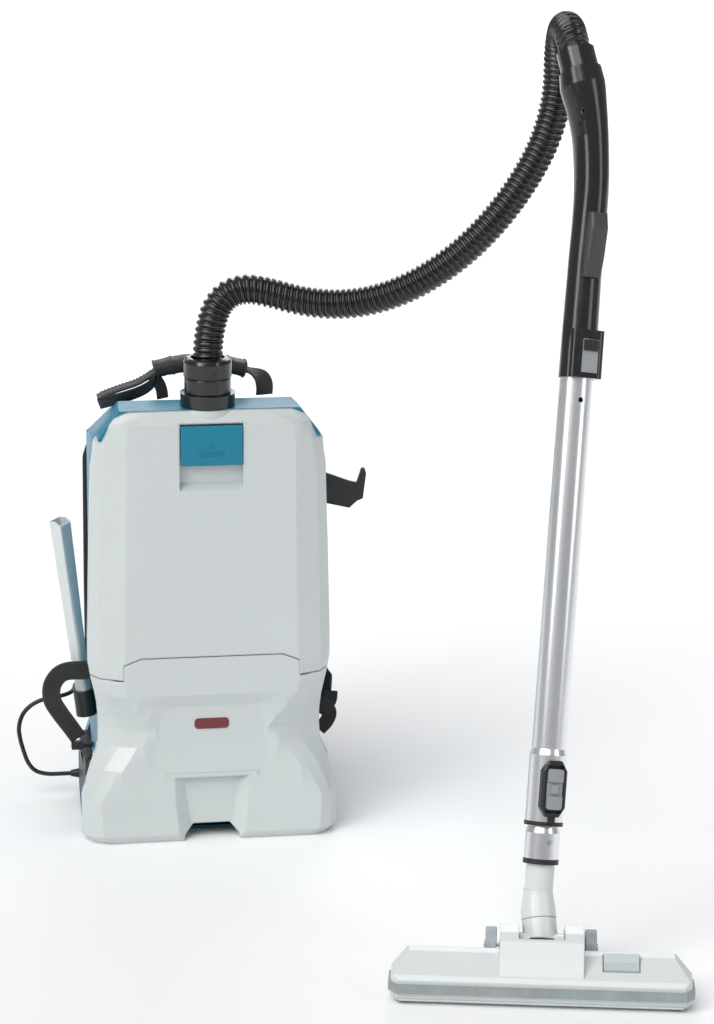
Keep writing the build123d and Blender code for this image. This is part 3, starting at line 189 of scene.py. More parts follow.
def metal(name, rgb, rough=0.28, axis=2, bump=0.06, edge=0.0006, stretch=0.012):
    if name in MATS:
        return MATS[name]
    n = Nodes(name)
    mp = n.add("ShaderNodeMapping")
    sc = [900.0, 900.0, 900.0]
    sc[axis] = 900.0 * stretch
    mp.inputs["Scale"].default_value = sc
    n.link(n.tc.outputs["Object"], mp.inputs["Vector"])
    streak = n.noise(1.0, 3, 0.6, mp.outputs[0])
    big = n.noise(9.0, 2)
    col = n.mix(n.remap(big, 0.3, 0.7, 0, 1), shade(rgb, 0.95), shade(rgb, 1.02))
    nrm, mask = n.edge(edge)
    col = n.mix(n.math("MULTIPLY", mask, 0.03, True), col, shade(rgb, 0.85))
    n.link(col, n.bsdf.inputs["Base Color"])
    n.bsdf.inputs["Metallic"].default_value = 0.9
    n.link(n.remap(streak, 0.3, 0.7, rough - 0.02, rough + 0.02), n.bsdf.inputs["Roughness"])
    n.link(n.bump(streak, bump, 0.0002, nrm), n.bsdf.inputs["Normal"])
    MATS[name] = n.mat
    return n.mat


def rubber(name, rgb, rough=0.6, grain=900, bump=0.2):
    if name in MATS:
        return MATS[name]
    n = Nodes(name)
    a = n.noise(40.0, 4, 0.6)
    dust = n.noise(9.0, 4, 0.65)
    col = n.mix(n.remap(a, 0.35, 0.65, 0, 1), shade(rgb, 0.9), shade(rgb, 1.12))
    col = n.mix(n.remap(dust, 0.5, 0.8, 0, 0.25), col, tuple(0.6 * x + 0.1 for x in rgb))
    n.link(col, n.bsdf.inputs["Base Color"])
    n.link(n.remap(a, 0.3, 0.7, rough - 0.08, min(1, rough + 0.08)), n.bsdf.inputs["Roughness"])
    nrm, mask = n.edge(0.0008)
    n.link(n.bump(n.noise(grain, 3, 0.6), bump, 0.0003, nrm), n.bsdf.inputs["Normal"])
    MATS[name] = n.mat
    return n.mat


def webbing_mat(name, rgb, warp=0.0017, weft=0.0011):
    """Woven strap: u runs along the strap and v across it, both in metres."""
    if name in MATS:
        return MATS[name]
    n = Nodes(name)
    sep = n.add("ShaderNodeSeparateXYZ")
    n.link(n.tc.outputs["UV"], sep.inputs[0])
    u, v = sep.outputs[0], sep.outputs[1]
    row = n.math("FLOOR", n.math("DIVIDE", v, warp))
    odd = n.math("MODULO", row, 2.0)
    su = n.math("SINE", n.math("MULTIPLY", n.math("ADD", n.math("DIVIDE", u, weft * 2), n.math("MULTIPLY", odd, 0.5)), 6.28318))
    sv = n.math("ABSOLUTE", n.math("SINE", n.math("MULTIPLY", v, 3.14159 / warp)))
    h = n.math("MULTIPLY", n.math("ADD", n.math("MULTIPLY", su, 0.5), 0.5), sv)
    fuzz = n.noise(1400.0, 3, 0.7)
    patch = n.noise(35.0, 3, 0.6)
    hh = n.math("ADD", n.math("MULTIPLY", h, 0.8), n.math("MULTIPLY", fuzz, 0.35))
    # painted shade and painted highlight: the colour follows the weave height, darker in the gaps between threads and
    # lighter on the thread crowns
    col = n.mix(n.remap(hh, 0.15, 0.95, 0, 1), shade(rgb, 0.45), shade(rgb, 1.6))
    col = n.mix(n.remap(patch, 0.45, 0.75, 0, 0.35), col, tuple(x * 1.3 + 0.02 for x in rgb))
    n.link(col, n.bsdf.inputs["Base Color"])
    n.bsdf.inputs["Roughness"].default_value = 0.62
    n.bsdf.inputs["Sheen Weight"].default_value = 0.35
    n.bsdf.inputs["Sheen Roughness"].default_value = 0.4
    n.link(n.bump(hh, 0.75, 0.0006), n.bsdf.inputs["Normal"])
    MATS[name] = n.mat
    return n.mat


def mesh_fabric(name, rgb, cell=0.0034, under=None):
    """Spacer mesh: round holes in a knitted face."""
    if name in MATS:
        return MATS[name]
    n = Nodes(name)
    vo = n.add("ShaderNodeTexVoronoi", feature="F1")
    vo.inputs["Scale"].default_value = 1.0 / cell
    vo.inputs["Randomness"].default_value = 0.12
    n.link(n.tc.outputs["Object"], vo.inputs["Vector"])
    hole = n.remap(vo.outputs["Distance"], 0.22, 0.42, 0, 1)
    yarn = n.noise(1900.0, 3, 0.7)
    wide = n.noise(14.0, 3)
    # holes take a darker colour: partly the layer beneath, partly painted shade inside the holes (by default a
    # quarter-bright copy of the face colour)
    col = n.mix(hole, under or shade(rgb, 0.25), shade(rgb, 1.25))
    col = n.mix(n.remap(yarn, 0.4, 0.7, 0, 0.5), col, shade(rgb, 1.9))
    col = n.mix(n.remap(wide, 0.4, 0.7, 0, 0.3), col, shade(rgb, 0.7))
    n.link(col, n.bsdf.inputs["Base Color"])
    n.bsdf.inputs["Roughness"].default_value = 0.8
    n.bsdf.inputs["Sheen Weight"].default_value = 0.3
    hh = n.math("ADD", hole, n.math("MULTIPLY", yarn, 0.3))
    n.link(n.bump(hh, 0.8, 0.0009), n.bsdf.inputs["Normal"])
    MATS[name] = n.mat
    return n.mat


def cloth_mat(name, rgb, thread=0.0008):
    if name in MATS:
        return MATS[name]
    n = Nodes(name)
    sep = n.add("ShaderNodeSeparateXYZ")
    n.link(n.tc.outputs["Object"], sep.inputs[0])
    k = 6.28318 / thread
    a = n.math("SINE", n.math("MULTIPLY", n.math("ADD", sep.outputs[0], sep.outputs[1]), k))
    b = n.math("SINE", n.math("MULTIPLY", sep.outputs[2], k))
    w = n.math("MULTIPLY", a, b)
    f = n.noise(900.0, 3, 0.7)
    wide = n.noise(22.0, 4, 0.6)
    hh = n.math("ADD", n.math("MULTIPLY", w, 0.35), f)
    # partly random fibre tone, partly painted shade and painted highlight from the weave height: darker in the thread
    # valleys, lighter on the crowns
    col = n.mix(n.remap(hh, 0.1, 0.9, 0, 1), shade(rgb, 0.6), shade(rgb, 1.4))
    col = n.mix(n.remap(wide, 0.45, 0.75, 0, 0.4), col, shade(rgb, 1.35))
    n.link(col, n.bsdf.inputs["Base Color"])
    n.bsdf.inputs["Roughness"].default_value = 0.75
    n.bsdf.inputs["Sheen Weight"].default_value = 0.25
    n.link(n.bump(hh, 0.5, 0.0005), n.bsdf.inputs["Normal"])
    MATS[name] = n.mat
    return n.mat


def vinyl(name, rgb):
    if name in MATS:
        return MATS[name]
    n = Nodes(name)
    vo = n.add("ShaderNodeTexVoronoi", feature="DISTANCE_TO_EDGE")
    vo.inputs["Scale"].default_value = 520.0
    n.link(n.tc.outputs["Object"], vo.inputs["Vector"])
    cell = n.remap(vo.outputs["Distance"], 0.0, 0.12, 0, 1)
    wrinkle = n.noise(60.0, 5, 0.65, dist=0.6)
    # painted shade: darker along the borders of the grain cells, in the crevices of the embossed surface
    col = n.mix(cell, shade(rgb, 0.55), shade(rgb, 1.15))
    col = n.mix(n.remap(wrinkle, 0.5, 0.72, 0, 0.5), col, shade(rgb, 2.0))
    n.link(col, n.bsdf.inputs["Base Color"])
    n.link(n.remap(wrinkle, 0.3, 0.7, 0.34, 0.52), n.bsdf.inputs["Roughness"])
    hh = n.math("ADD", n.math("MULTIPLY", cell, 0.5), n.math("MULTIPLY", wrinkle, 1.6))
    n.link(n.bump(hh, 0.5, 0.0012), n.bsdf.inputs["Normal"])
    MATS[name] = n.mat
    return n.mat


WHITE = (0.60, 0.64, 0.638)
TEAL = (0.0, 0.20, 0.315)
BLACK = (0.012, 0.012, 0.013)

m_white = plastic("cover_white", WHITE, rough=0.25, grain=1400, bump=0.0, edge=0.0030, coat=0.25, vary=0.0015, wear=0.0, rvar=0.0)
m_teal = plastic("shell_teal", TEAL, rough=0.36, grain=1500, bump=0.10, edge=0.0015, vary=0.05, wear=0.2, wear_rgb=(0.10, 0.42, 0.52))
m_badge = plastic("badge_red", (0.16, 0.006, 0.010), rough=0.2, grain=500, bump=0.03, edge=0.0006, coat=0.5, vary=0.05)
m_gloss = plastic("black_gloss", BLACK, rough=0.17, grain=420, bump=0.02, edge=0.0012, coat=0.35, vary=0.10, wear=0.15, wear_rgb=(0.05, 0.05, 0.05))
m_black = plastic("black_plastic", (0.016, 0.016, 0.018), rough=0.42, grain=1700, bump=0.22, edge=0.0010, vary=0.10, wear=0.3, wear_rgb=(0.07, 0.07, 0.07))
m_grey = plastic("grey_button", (0.30, 0.31, 0.32), rough=0.4, grain=1500, bump=0.12, edge=0.0008)
m_guard = plastic("guard_grey", (0.055, 0.056, 0.058), rough=0.33, grain=1500, bump=0.12, edge=0.002, vary=0.08)
m_nozzle = plastic("nozzle_plastic", (0.68, 0.71, 0.705), rough=0.30, grain=1400, bump=0.0, edge=0.0022, coat=0.15, vary=0.002, wear=0.0, rvar=0.0)
m_crev = plastic("crevice_plastic", (0.68, 0.71, 0.71), rough=0.36, grain=1400, bump=0.0, edge=0.0009, vary=0.003, wear=0.0, rvar=0.0)
m_pedal = plastic("pedal_grey", (0.50, 0.55, 0.55), rough=0.42, grain=1500, bump=0.15, edge=0.0010)
m_inner = plastic("inner_grey", (0.06, 0.063, 0.067), rough=0.5, grain=1500, bump=0.2, edge=0.0008)
m_circuit = plastic("circuit", (0.01, 0.09, 0.03), rough=0.3, grain=260, bump=0.4, edge=0.0003, coat=0.4)
m_bumper = rubber("bumper_rubber", (0.30, 0.345, 0.345), rough=0.5)
m_wheel = rubber("wheel_rubber", (0.34, 0.38, 0.40), rough=0.5)
m_foot = rubber("foot_rubber", (0.018, 0.018, 0.018), rough=0.7)
m_cord = rubber("cord_black", (0.012, 0.012, 0.012), rough=0.42, grain=500, bump=0.08)
m_tube = metal("aluminium_tube", (0.90, 0.905, 0.915), rough=0.25, axis=2, bump=0.0)
m_steel = metal("steel", (0.60, 0.61, 0.63), rough=0.28, axis=0)
m_web = webbing_mat("webbing", (0.017, 0.017, 0.019))
m_web_grey = webbing_mat("webbing_edge", (0.05, 0.05, 0.055), 0.0012, 0.0009)
m_mesh = mesh_fabric("pad_fabric", (0.022, 0.022, 0.025))
m_cloth = cloth_mat("pad_cloth", (0.018, 0.018, 0.020))
m_vinyl = vinyl("grip_vinyl", (0.022, 0.022, 0.023))
m_paper = cloth_mat("bag_paper", (0.72, 0.68, 0.58), 0.0014)
m_filter = cloth_mat("filter_media", (0.78, 0.78, 0.75), 0.0010)
m_bristle = cloth_mat("bristle", (0.02, 0.02, 0.022), 0.0006)
m_thread = cloth_mat("thread", (0.07, 0.07, 0.075), 0.0004)


def hose_mat():
    n = Nodes("hose_black")
    a = n.noise(120.0, 3)
    b = n.noise(16.0, 3)
    col = n.mix(n.remap(a, 0.35, 0.65, 0, 1), (0.006, 0.006, 0.0062), (0.014, 0.0145, 0.015))
    col = n.mix(n.remap(b, 0.5, 0.8, 0, 0.25), col, (0.03, 0.031, 0.032))
    n.link(col, n.bsdf.inputs["Base Color"])
    n.link(n.remap(a, 0.3, 0.7, 0.16, 0.27), n.bsdf.inputs["Roughness"])
    n.bsdf.inputs["Coat Weight"].default_value = 0.35
    n.bsdf.inputs["Coat Roughness"].default_value = 0.1
    n.link(n.bump(n.noise(700.0, 2), 0.08, 0.0003), n.bsdf.inputs["Normal"])
    MATS["hose_black"] = n.mat
    return n.mat


m_hose = hose_mat()

SLOT_MATS = {
    "cover_white": m_white, "shell_teal": m_teal, "badge_red": m_badge, "black_gloss": m_gloss, "black_plastic": m_black,
    "grey_button": m_grey, "guard_grey": m_guard, "hose_black": m_hose, "cord_black": m_cord, "aluminium_tube": m_tube,
    "nozzle_plastic": m_nozzle, "crevice_plastic": m_crev, "bumper_rubber": m_bumper, "pedal_grey": m_pedal,
    "wheel_rubber": m_wheel, "steel": m_steel, "bristle": m_bristle, "foot_rubber": m_foot, "webbing": m_web,
    "pad_fabric": m_mesh, "grip_vinyl": m_vinyl, "bag_paper": m_paper, "filter_media": m_filter, "inner_grey": m_inner, "circuit": m_circuit,
}
NODE_SLOT = {s["node"]: s["material_slot"] for s in frame["record"]["subparts"]}
for node, ob in frame["nodes"].items():
    mat = SLOT_MATS[NODE_SLOT[node]]
    for s in ob.material_slots:
        s.material = mat
    if not ob.material_slots:
        ob.data.materials.append(mat)
sole = frame["nodes"]["sole_plate"]
for s in sole.material_slots:
    s.material = m_nozzle


# ------------------------------------------------------------------ mesh helpers
def mm(*p):
    return V([x / 1000.0 for x in p])


def new_mesh(name, verts, faces, mat, body, uv=None, smooth=True, auto=None):
    me = bpy.data.meshes.new(name)
    me.from_pydata([tuple(v) for v in verts], [], faces)
    me.update()
    if uv is not None:
        lay = me.uv_layers.new(name="UVMap")
        for poly in me.polygons:
            for li, vi in zip(poly.loop_indices, poly.vertices):
                lay.data[li].uv = uv[vi]
    ob = bpy.data.objects.new(name, me)
    scene.collection.objects.link(ob)
    me.materials.append(mat)
    if smooth:
        me.polygons.foreach_set("use_smooth", [True] * len(me.polygons))
    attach(ob, body)
    return ob


def mods(ob, *specs):
    """Adds modifiers and applies them."""
    for kind, props in specs:
        md = ob.modifiers.new(kind.lower(), kind)
        for k, v in props.items():
            setattr(md, k, v)
    dg = bpy.context.evaluated_depsgraph_get()
    dg.update()
    me = bpy.data.meshes.new_from_object(ob.evaluated_get(dg))
    old = ob.data
    mats = [s for s in old.materials]
    ob.modifiers.clear()
    ob.data = me
    if not me.materials:
        for x in mats:
            me.materials.append(x)
    return ob


def smooth_path(pts, per=8, closed=False):
    """Catmull-Rom through the points: for straps and piping, not for cords."""
    p = [V(q) for q in pts]
    out = []
    n = len(p)
    for i in range(n - 1):
        a = p[i - 1] if i > 0 else p[i] * 2 - p[i + 1]
        b, c = p[i], p[i + 1]
        d = p[i + 2] if i + 2 < n else p[i + 1] * 2 - p[i]
        for k in range(per):
            t = k / per
            out.append(0.5 * ((2 * b) + (c - a) * t + (2 * a - 5 * b + 4 * c - d) * t * t + (3 * b - a - 3 * c + d) * t ** 3))
    out.append(p[-1].copy())
    return out


def lengths(pts):
    s = [0.0]
    for a, b in zip(pts, pts[1:]):
        s.append(s[-1] + (b - a).length)
    return s


def at_length(pts, s, d):
    d = min(max(d, 0), s[-1])
    lo, hi = 0, len(s) - 1
    while hi - lo > 1:
        k = (lo + hi) // 2
        if s[k] <= d:
            lo = k
        else:
            hi = k
    t = (d - s[lo]) / max(1e-12, s[hi] - s[lo])
    return pts[lo].lerp(pts[hi], t)


def even(pts, step):
    s = lengths(pts)
    n = max(2, int(round(s[-1] / step)))
    return [at_length(pts, s, s[-1] * i / n) for i in range(n + 1)]


def band(name, pts, wdir, width, thick, mat, body="pack", power=6.0, seg=28, widths=None, thicks=None, wave=None, step=0.003, curl=0.0):
    """A strap along pts. wdir is the direction across it (a vector, or one per point). Closed superellipse section."""
    line = even(pts, step)
    n = len(line)
    verts, faces, uv = [], [], []
    L = lengths(line)
    for i, p in enumerate(line):
        t = (line[min(i + 1, n - 1)] - line[max(i - 1, 0)]).normalized()
        f = i / (n - 1)
        w = V(wdir) if not callable(wdir) else V(wdir(f))
        w = (w - t * w.dot(t)).normalized()
        nn = t.cross(w)
        hw = (width if widths is None else widths(f)) / 2
        ht = (thick if thicks is None else thicks(f)) / 2
        off = wave(f, L[i]) if wave else 0.0
        for k in range(seg):
            a = 2 * math.pi * k / seg
            c, s = math.cos(a), math.sin(a)
            x = math.copysign(abs(c) ** (2 / power), c)
            y = math.copysign(abs(s) ** (2 / power), s)
            bend = curl * (x * x - 0.5)
            verts.append(p + w * (hw * x) + nn * (ht * y + off + bend))
            uv.append((L[i], hw * x + (0.5 if y < 0 else 0)))
    for i in range(n - 1):
        for k in range(seg):
            k2 = (k + 1) % seg
            faces.append((i * seg + k, i * seg + k2, (i + 1) * seg + k2, (i + 1) * seg + k))
    faces.append(tuple(range(seg - 1, -1, -1)))
    faces.append(tuple((n - 1) * seg + k for k in range(seg)))
    ob = new_mesh(name, verts, faces, mat, body, uv)
    fix_normals(ob)
    return ob


def fix_normals(ob):
    bm = bmesh.new()
    bm.from_mesh(ob.data)
    bmesh.ops.recalc_face_normals(bm, faces=bm.faces)
    bm.to_mesh(ob.data)
    bm.free()


def stitches(name, lines, normals, body="pack", spacing=0.0042, size=0.0030, r=0.00042, lift=0.0002, mat=None):
    """Rows of thread stitches; normals is a vector or one function per line giving the outward direction."""
    verts, faces = [], []
    for li, line in enumerate(lines):
        pts = [V(p) for p in line]
        s = lengths(pts)
        n = int(s[-1] / spacing)
        for i in range(n):
            d = (i + 0.5) * spacing
            a, b = at_length(pts, s, d - size / 2), at_length(pts, s, d + size / 2)
            t = (b - a).normalized()
            nv = V(normals[li] if isinstance(normals, list) else normals).normalized()
            side = t.cross(nv).normalized()
            nv = side.cross(t)
            base = len(verts)
            for j, (q, k) in enumerate(((0.0, 0.35), (0.2, 1.0), (0.5, 1.15), (0.8, 1.0), (1.0, 0.35))):
                c = a.lerp(b, q) + nv * (lift + r * 0.5 * math.sin(math.pi * q))
                for h in range(6):
                    an = math.pi * 2 * h / 6
                    verts.append(c + side * (r * k * math.cos(an)) + nv * (r * k * math.sin(an)))
            for j in range(4):
                for h in range(6):
                    h2 = (h + 1) % 6
                    faces.append((base + j * 6 + h, base + j * 6 + h2, base + (j + 1) * 6 + h2, base + (j + 1) * 6 + h))
            faces.append(tuple(base + h for h in range(5, -1, -1)))
            faces.append(tuple(base + 24 + h for h in range(6)))
    ob = new_mesh(name, verts, faces, mat or m_thread, body)
    fix_normals(ob)
    return ob


def tube(name, pts, r, mat, body="pack", seg=10, step=0.004, closed=False):
    line = even(pts, step)
    n = len(line)
    verts, faces = [], []
    w = None
    for i, p in enumerate(line):
        if closed:
            t = (line[(i + 1) % (n - 1)] - line[(i - 1) % (n - 1)]).normalized()
        else:
            t = (line[min(i + 1, n - 1)] - line[max(i - 1, 0)]).normalized()
        if w is None:
            w = t.orthogonal().normalized()
        w = (w - t * w.dot(t)).normalized()
        b = t.cross(w)
        for k in range(seg):
            a = 2 * math.pi * k / seg
            verts.append(p + w * (r * math.cos(a)) + b * (r * math.sin(a)))
    for i in range(n - 1):
        for k in range(seg):
            k2 = (k + 1) % seg
            faces.append((i * seg + k, i * seg + k2, (i + 1) * seg + k2, (i + 1) * seg + k))
    if not closed:
        faces.append(tuple(range(seg - 1, -1, -1)))
        faces.append(tuple((n - 1) * seg + k for k in range(seg)))
    ob = new_mesh(name, verts, faces, mat, body)
    fix_normals(ob)
    return ob


# ------------------------------------------------------------------ cords first
HOSE_PTS = [
    (0.0, -62.0, 528.0), (0.0, -62.0, 549.0), (2.5, -62.2, 573.0), (9.0, -63.0, 597.0), (22.0, -64.4, 612.5),
    (42.0, -67.0, 618.5), (67.0, -70.7, 613.9), (97.0, -75.2, 605.4), (130.0, -83.5, 601.7), (165.0, -93.5, 605.4),
    (200.0, -105.0, 617.5), (234.5, -117.0, 638.0), (268.0, -130.5, 666.5), (297.8, -144.5, 702.0), (322.0, -157.5, 741.0),
    (340.0, -168.5, 780.0), (349.5, -177.0, 817.5), (352.6, -183.0, 850.0), (350.3, -192.7, 879.0), (348.7, -207.5, 901.4),
    (346.9, -229.5, 913.2), (346.0, -252.5, 912.5), (345.97, -269.49, 901.05), (348.83, -279.47, 883.96),
]
CORD_PTS = [
    (-146.0, 75.0, 23.0), (-158.0, 75.0, 23.0), (-172.5, 74.4, 23.2), (-187.0, 72.4, 28.0), (-195.5, 70.2, 39.5),
    (-200.0, 68.8, 54.0), (-204.1, 68.0, 70.0), (-205.8, 67.6, 85.0), (-200.5, 68.2, 101.5), (-188.5, 69.0, 112.3),
    (-173.0, 70.2, 117.6), (-156.0, 74.5, 118.0), (-143.5, 85.0, 118.2), (-138.5, 100.5, 118.4), (-137.2, 113.5, 118.6), (-131.5, 121.5, 118.8), (-122.0, 121.5, 118.8),
]


def nurbs(name, pts, res=24):
    cu = bpy.data.curves.new(name, "CURVE")
    cu.dimensions = "3D"
    cu.resolution_u = res
    sp = cu.splines.new("NURBS")
    sp.points.add(len(pts) - 1)
    for p, q in zip(sp.points, pts):
        p.co = (*[x / 1000 for x in q], 1)
    sp.order_u = 3
    sp.use_endpoint_u = True
    ob = bpy.data.objects.new(name, cu)
    scene.collection.objects.link(ob)
    return ob


def read_points(curve):
    dg = bpy.context.evaluated_depsgraph_get()
    dg.update()
    me = bpy.data.meshes.new_from_object(curve.evaluated_get(dg))
    pts = [v.co.copy() for v in me.vertices]
    bpy.data.meshes.remove(me)
    return pts


route = nurbs("hose_route", HOSE_PTS, 32)
hose_line = read_points(route)
bpy.data.objects.remove(route)
hose_len = lengths(hose_line)[-1]


def corrugated(name, line, r_top, r_low, pitch, seg=36, per=9):
    """Helical hose: one rounded rib that winds round the tube."""
    L = lengths(line)[-1]
    turns = round(L / pitch)
    n = turns * per
    s = lengths(line)
    pts = [at_length(line, s, L * i / n) for i in range(n + 1)]
    w = None
    verts, faces = [], []
    for i, p in enumerate(pts):
        t = (pts[min(i + 1, n)] - pts[max(i - 1, 0)]).normalized()
        if w is None:
            w = V((1, 0, 0))
        w = (w - t * w.dot(t)).normalized()
        b = t.cross(w)
        for k in range(seg):
            a = 2 * math.pi * k / seg
            f = i / per - k / seg
            c = 0.5 + 0.5 * math.cos(2 * math.pi * f)
            r = r_low + (r_top - r_low) * c ** 0.62
            verts.append(p + w * (r * math.cos(a)) + b * (r * math.sin(a)))
    for i in range(n):
        for k in range(seg):
            k2 = (k + 1) % seg
            faces.append((i * seg + k, i * seg + k2, (i + 1) * seg + k2, (i + 1) * seg + k))
    faces.append(tuple(range(seg - 1, -1, -1)))
    faces.append(tuple(n * seg + k for k in range(seg)))
    ob = new_mesh(name, verts, faces, m_hose, "pack")
    fix_normals(ob)
    return ob


hose = corrugated("hose_corrugated", hose_line, 0.0165, 0.0136, 0.0067)
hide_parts("hose")

cord = nurbs("control_cord_round", CORD_PTS, 16)
cord.data.bevel_depth = 0.0025
cord.data.bevel_resolution = 5
cord.data.materials.append(m_cord)
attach(cord, "pack")
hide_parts("control_cord")


# ------------------------------------------------------------------ soft goods
def flat_dir(pts, face):
    """Width direction of a band whose face looks along 'face'."""
    line = [V(p) for p in pts]
    s = lengths(line)
    fv = V(face)

    def f(t):
        d = t * s[-1]
        a, b = at_length(line, s, d - 0.002), at_length(line, s, d + 0.002)
        return (b - a).cross(fv).normalized()
    return f


def mixed(ob, second, rule):
    """Gives the faces for which rule(centre) is true the second material."""
    ob.data.materials.append(second)
    for p in ob.data.polygons:
        if rule(p.center):
            p.material_index = 1
    return ob


# back pad: two quilted panels beside a recessed air channel
def pad_half(z):
    pts = [(40, 104), (52, 112), (100, 125), (250, 125.5), (400, 125), (430, 114), (440, 104)]
    for (a, wa), (b, wb) in zip(pts, pts[1:]):
        if z <= b:
            return wa + (wb - wa) * (z - a) / (b - a)
    return pts[-1][1]


ROWS = [44, 112, 178, 244, 310, 376, 436]
COLS = [0.20, 0.94]


def pad_height(u, z):
    au = abs(u)
    edge = min((1 - au) * 125, z - 40, 440 - z) / 9.0
    rim = math.sqrt(max(0.0, 1 - (1 - min(1.0, max(0.0, edge))) ** 2))
    base = 7.0
    if COLS[0] < au < COLS[1]:
        a = (au - COLS[0]) / (COLS[1] - COLS[0])
        row = 0
        for i in range(len(ROWS) - 1):
            if ROWS[i] <= z <= ROWS[i + 1]:
                b = (z - ROWS[i]) / (ROWS[i + 1] - ROWS[i])
                fa = 1 - abs(2 * a - 1) ** 3.4
                fb = 1 - abs(2 * b - 1) ** 5.0
                row = 13.0 * (max(0.0, fa) ** 0.55) * (max(0.0, fb) ** 0.5)
        base += row
    base += 0.35 * math.sin(z * 0.11 + 3 * u) + 0.25 * math.sin(u * 21 + z * 0.05)
    return max(1.2, base * rim)


def back_pad():
    nu, nz = 150, 200
    verts, faces = [], []
    for side in (0, 1):
        for j in range(nz + 1):
            z = 40 + 400 * j / nz
            for i in range(nu + 1):
                u = -1 + 2 * i / nu
                y = 87.5 + (pad_height(u, z) if side == 0 else 0.0)
                verts.append(mm(u * pad_half(z), y, z))
    n1 = (nu + 1) * (nz + 1)
    for j in range(nz):
        for i in range(nu):
            a = j * (nu + 1) + i
            faces.append((a, a + nu + 1, a + nu + 2, a + 1))
            faces.append((n1 + a, n1 + a + 1, n1 + a + nu + 2, n1 + a + nu + 1))
    rim = [i for i in range(nu + 1)] + [(j + 1) * (nu + 1) + nu for j in range(nz)]
    rim += [nz * (nu + 1) + nu - 1 - i for i in range(nu)] + [(nz - 1 - j) * (nu + 1) for j in range(nz - 1)]
    for k in range(len(rim)):
        a, b = rim[k], rim[(k + 1) % len(rim)]
        faces.append((a, b, b + n1, a + n1))
    ob = new_mesh("back_pad_quilted", verts, faces, m_mesh, "pack")
    fix_normals(ob)

    def plain(c):
        u = abs(c.x * 1000) / pad_half(min(440, max(40, c.z * 1000)))
        return u > 0.955 or c.z < 0.050 or c.z > 0.430 or (u < 0.185 and 0.052 < c.z < 0.428 and int(c.z * 1000 / 8) % 2 == 0)
    mixed(ob, m_cloth, plain)
    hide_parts("back_pad")
    lines, nrm = [], []
    for z in ROWS[1:-1]:
        for s in (-1, 1):
            lines.append([mm(s * pad_half(z) * u / 100, 87.5 + pad_height(s * u / 100, z) + 0.2, z) for u in range(23, 93, 3)])
            nrm.append((0, 1, 0))
    for s in (-1, 1):
        for uu in (0.19, 0.945):
            lines.append([mm(s * pad_half(z) * uu, 87.5 + pad_height(s * uu, z) + 0.2, z) for z in range(52, 430, 4)])
            nrm.append((0, 1, 0))
    stitches("back_pad_stitches", lines, nrm)
    ring = []
    for k in range(0, 40):
        z = 42 + 396 * k / 40
        ring.append(mm(pad_half(z) - 0.6, 89.5, z))
    for k in range(0, 20):
        ring.append(mm((1 - k / 10) * pad_half(439), 89.5, 439))
    for k in range(0, 40):
        z = 438 - 396 * k / 40
        ring.append(mm(-pad_half(z) + 0.6, 89.5, z))
    for k in range(0, 20):
        ring.append(mm((-1 + k / 10) * pad_half(41), 89.5, 41))
    ring.append(ring[0])
    tube("back_pad_piping", ring, 0.0021, m_cloth, seg=10, step=0.004, closed=True)


back_pad()


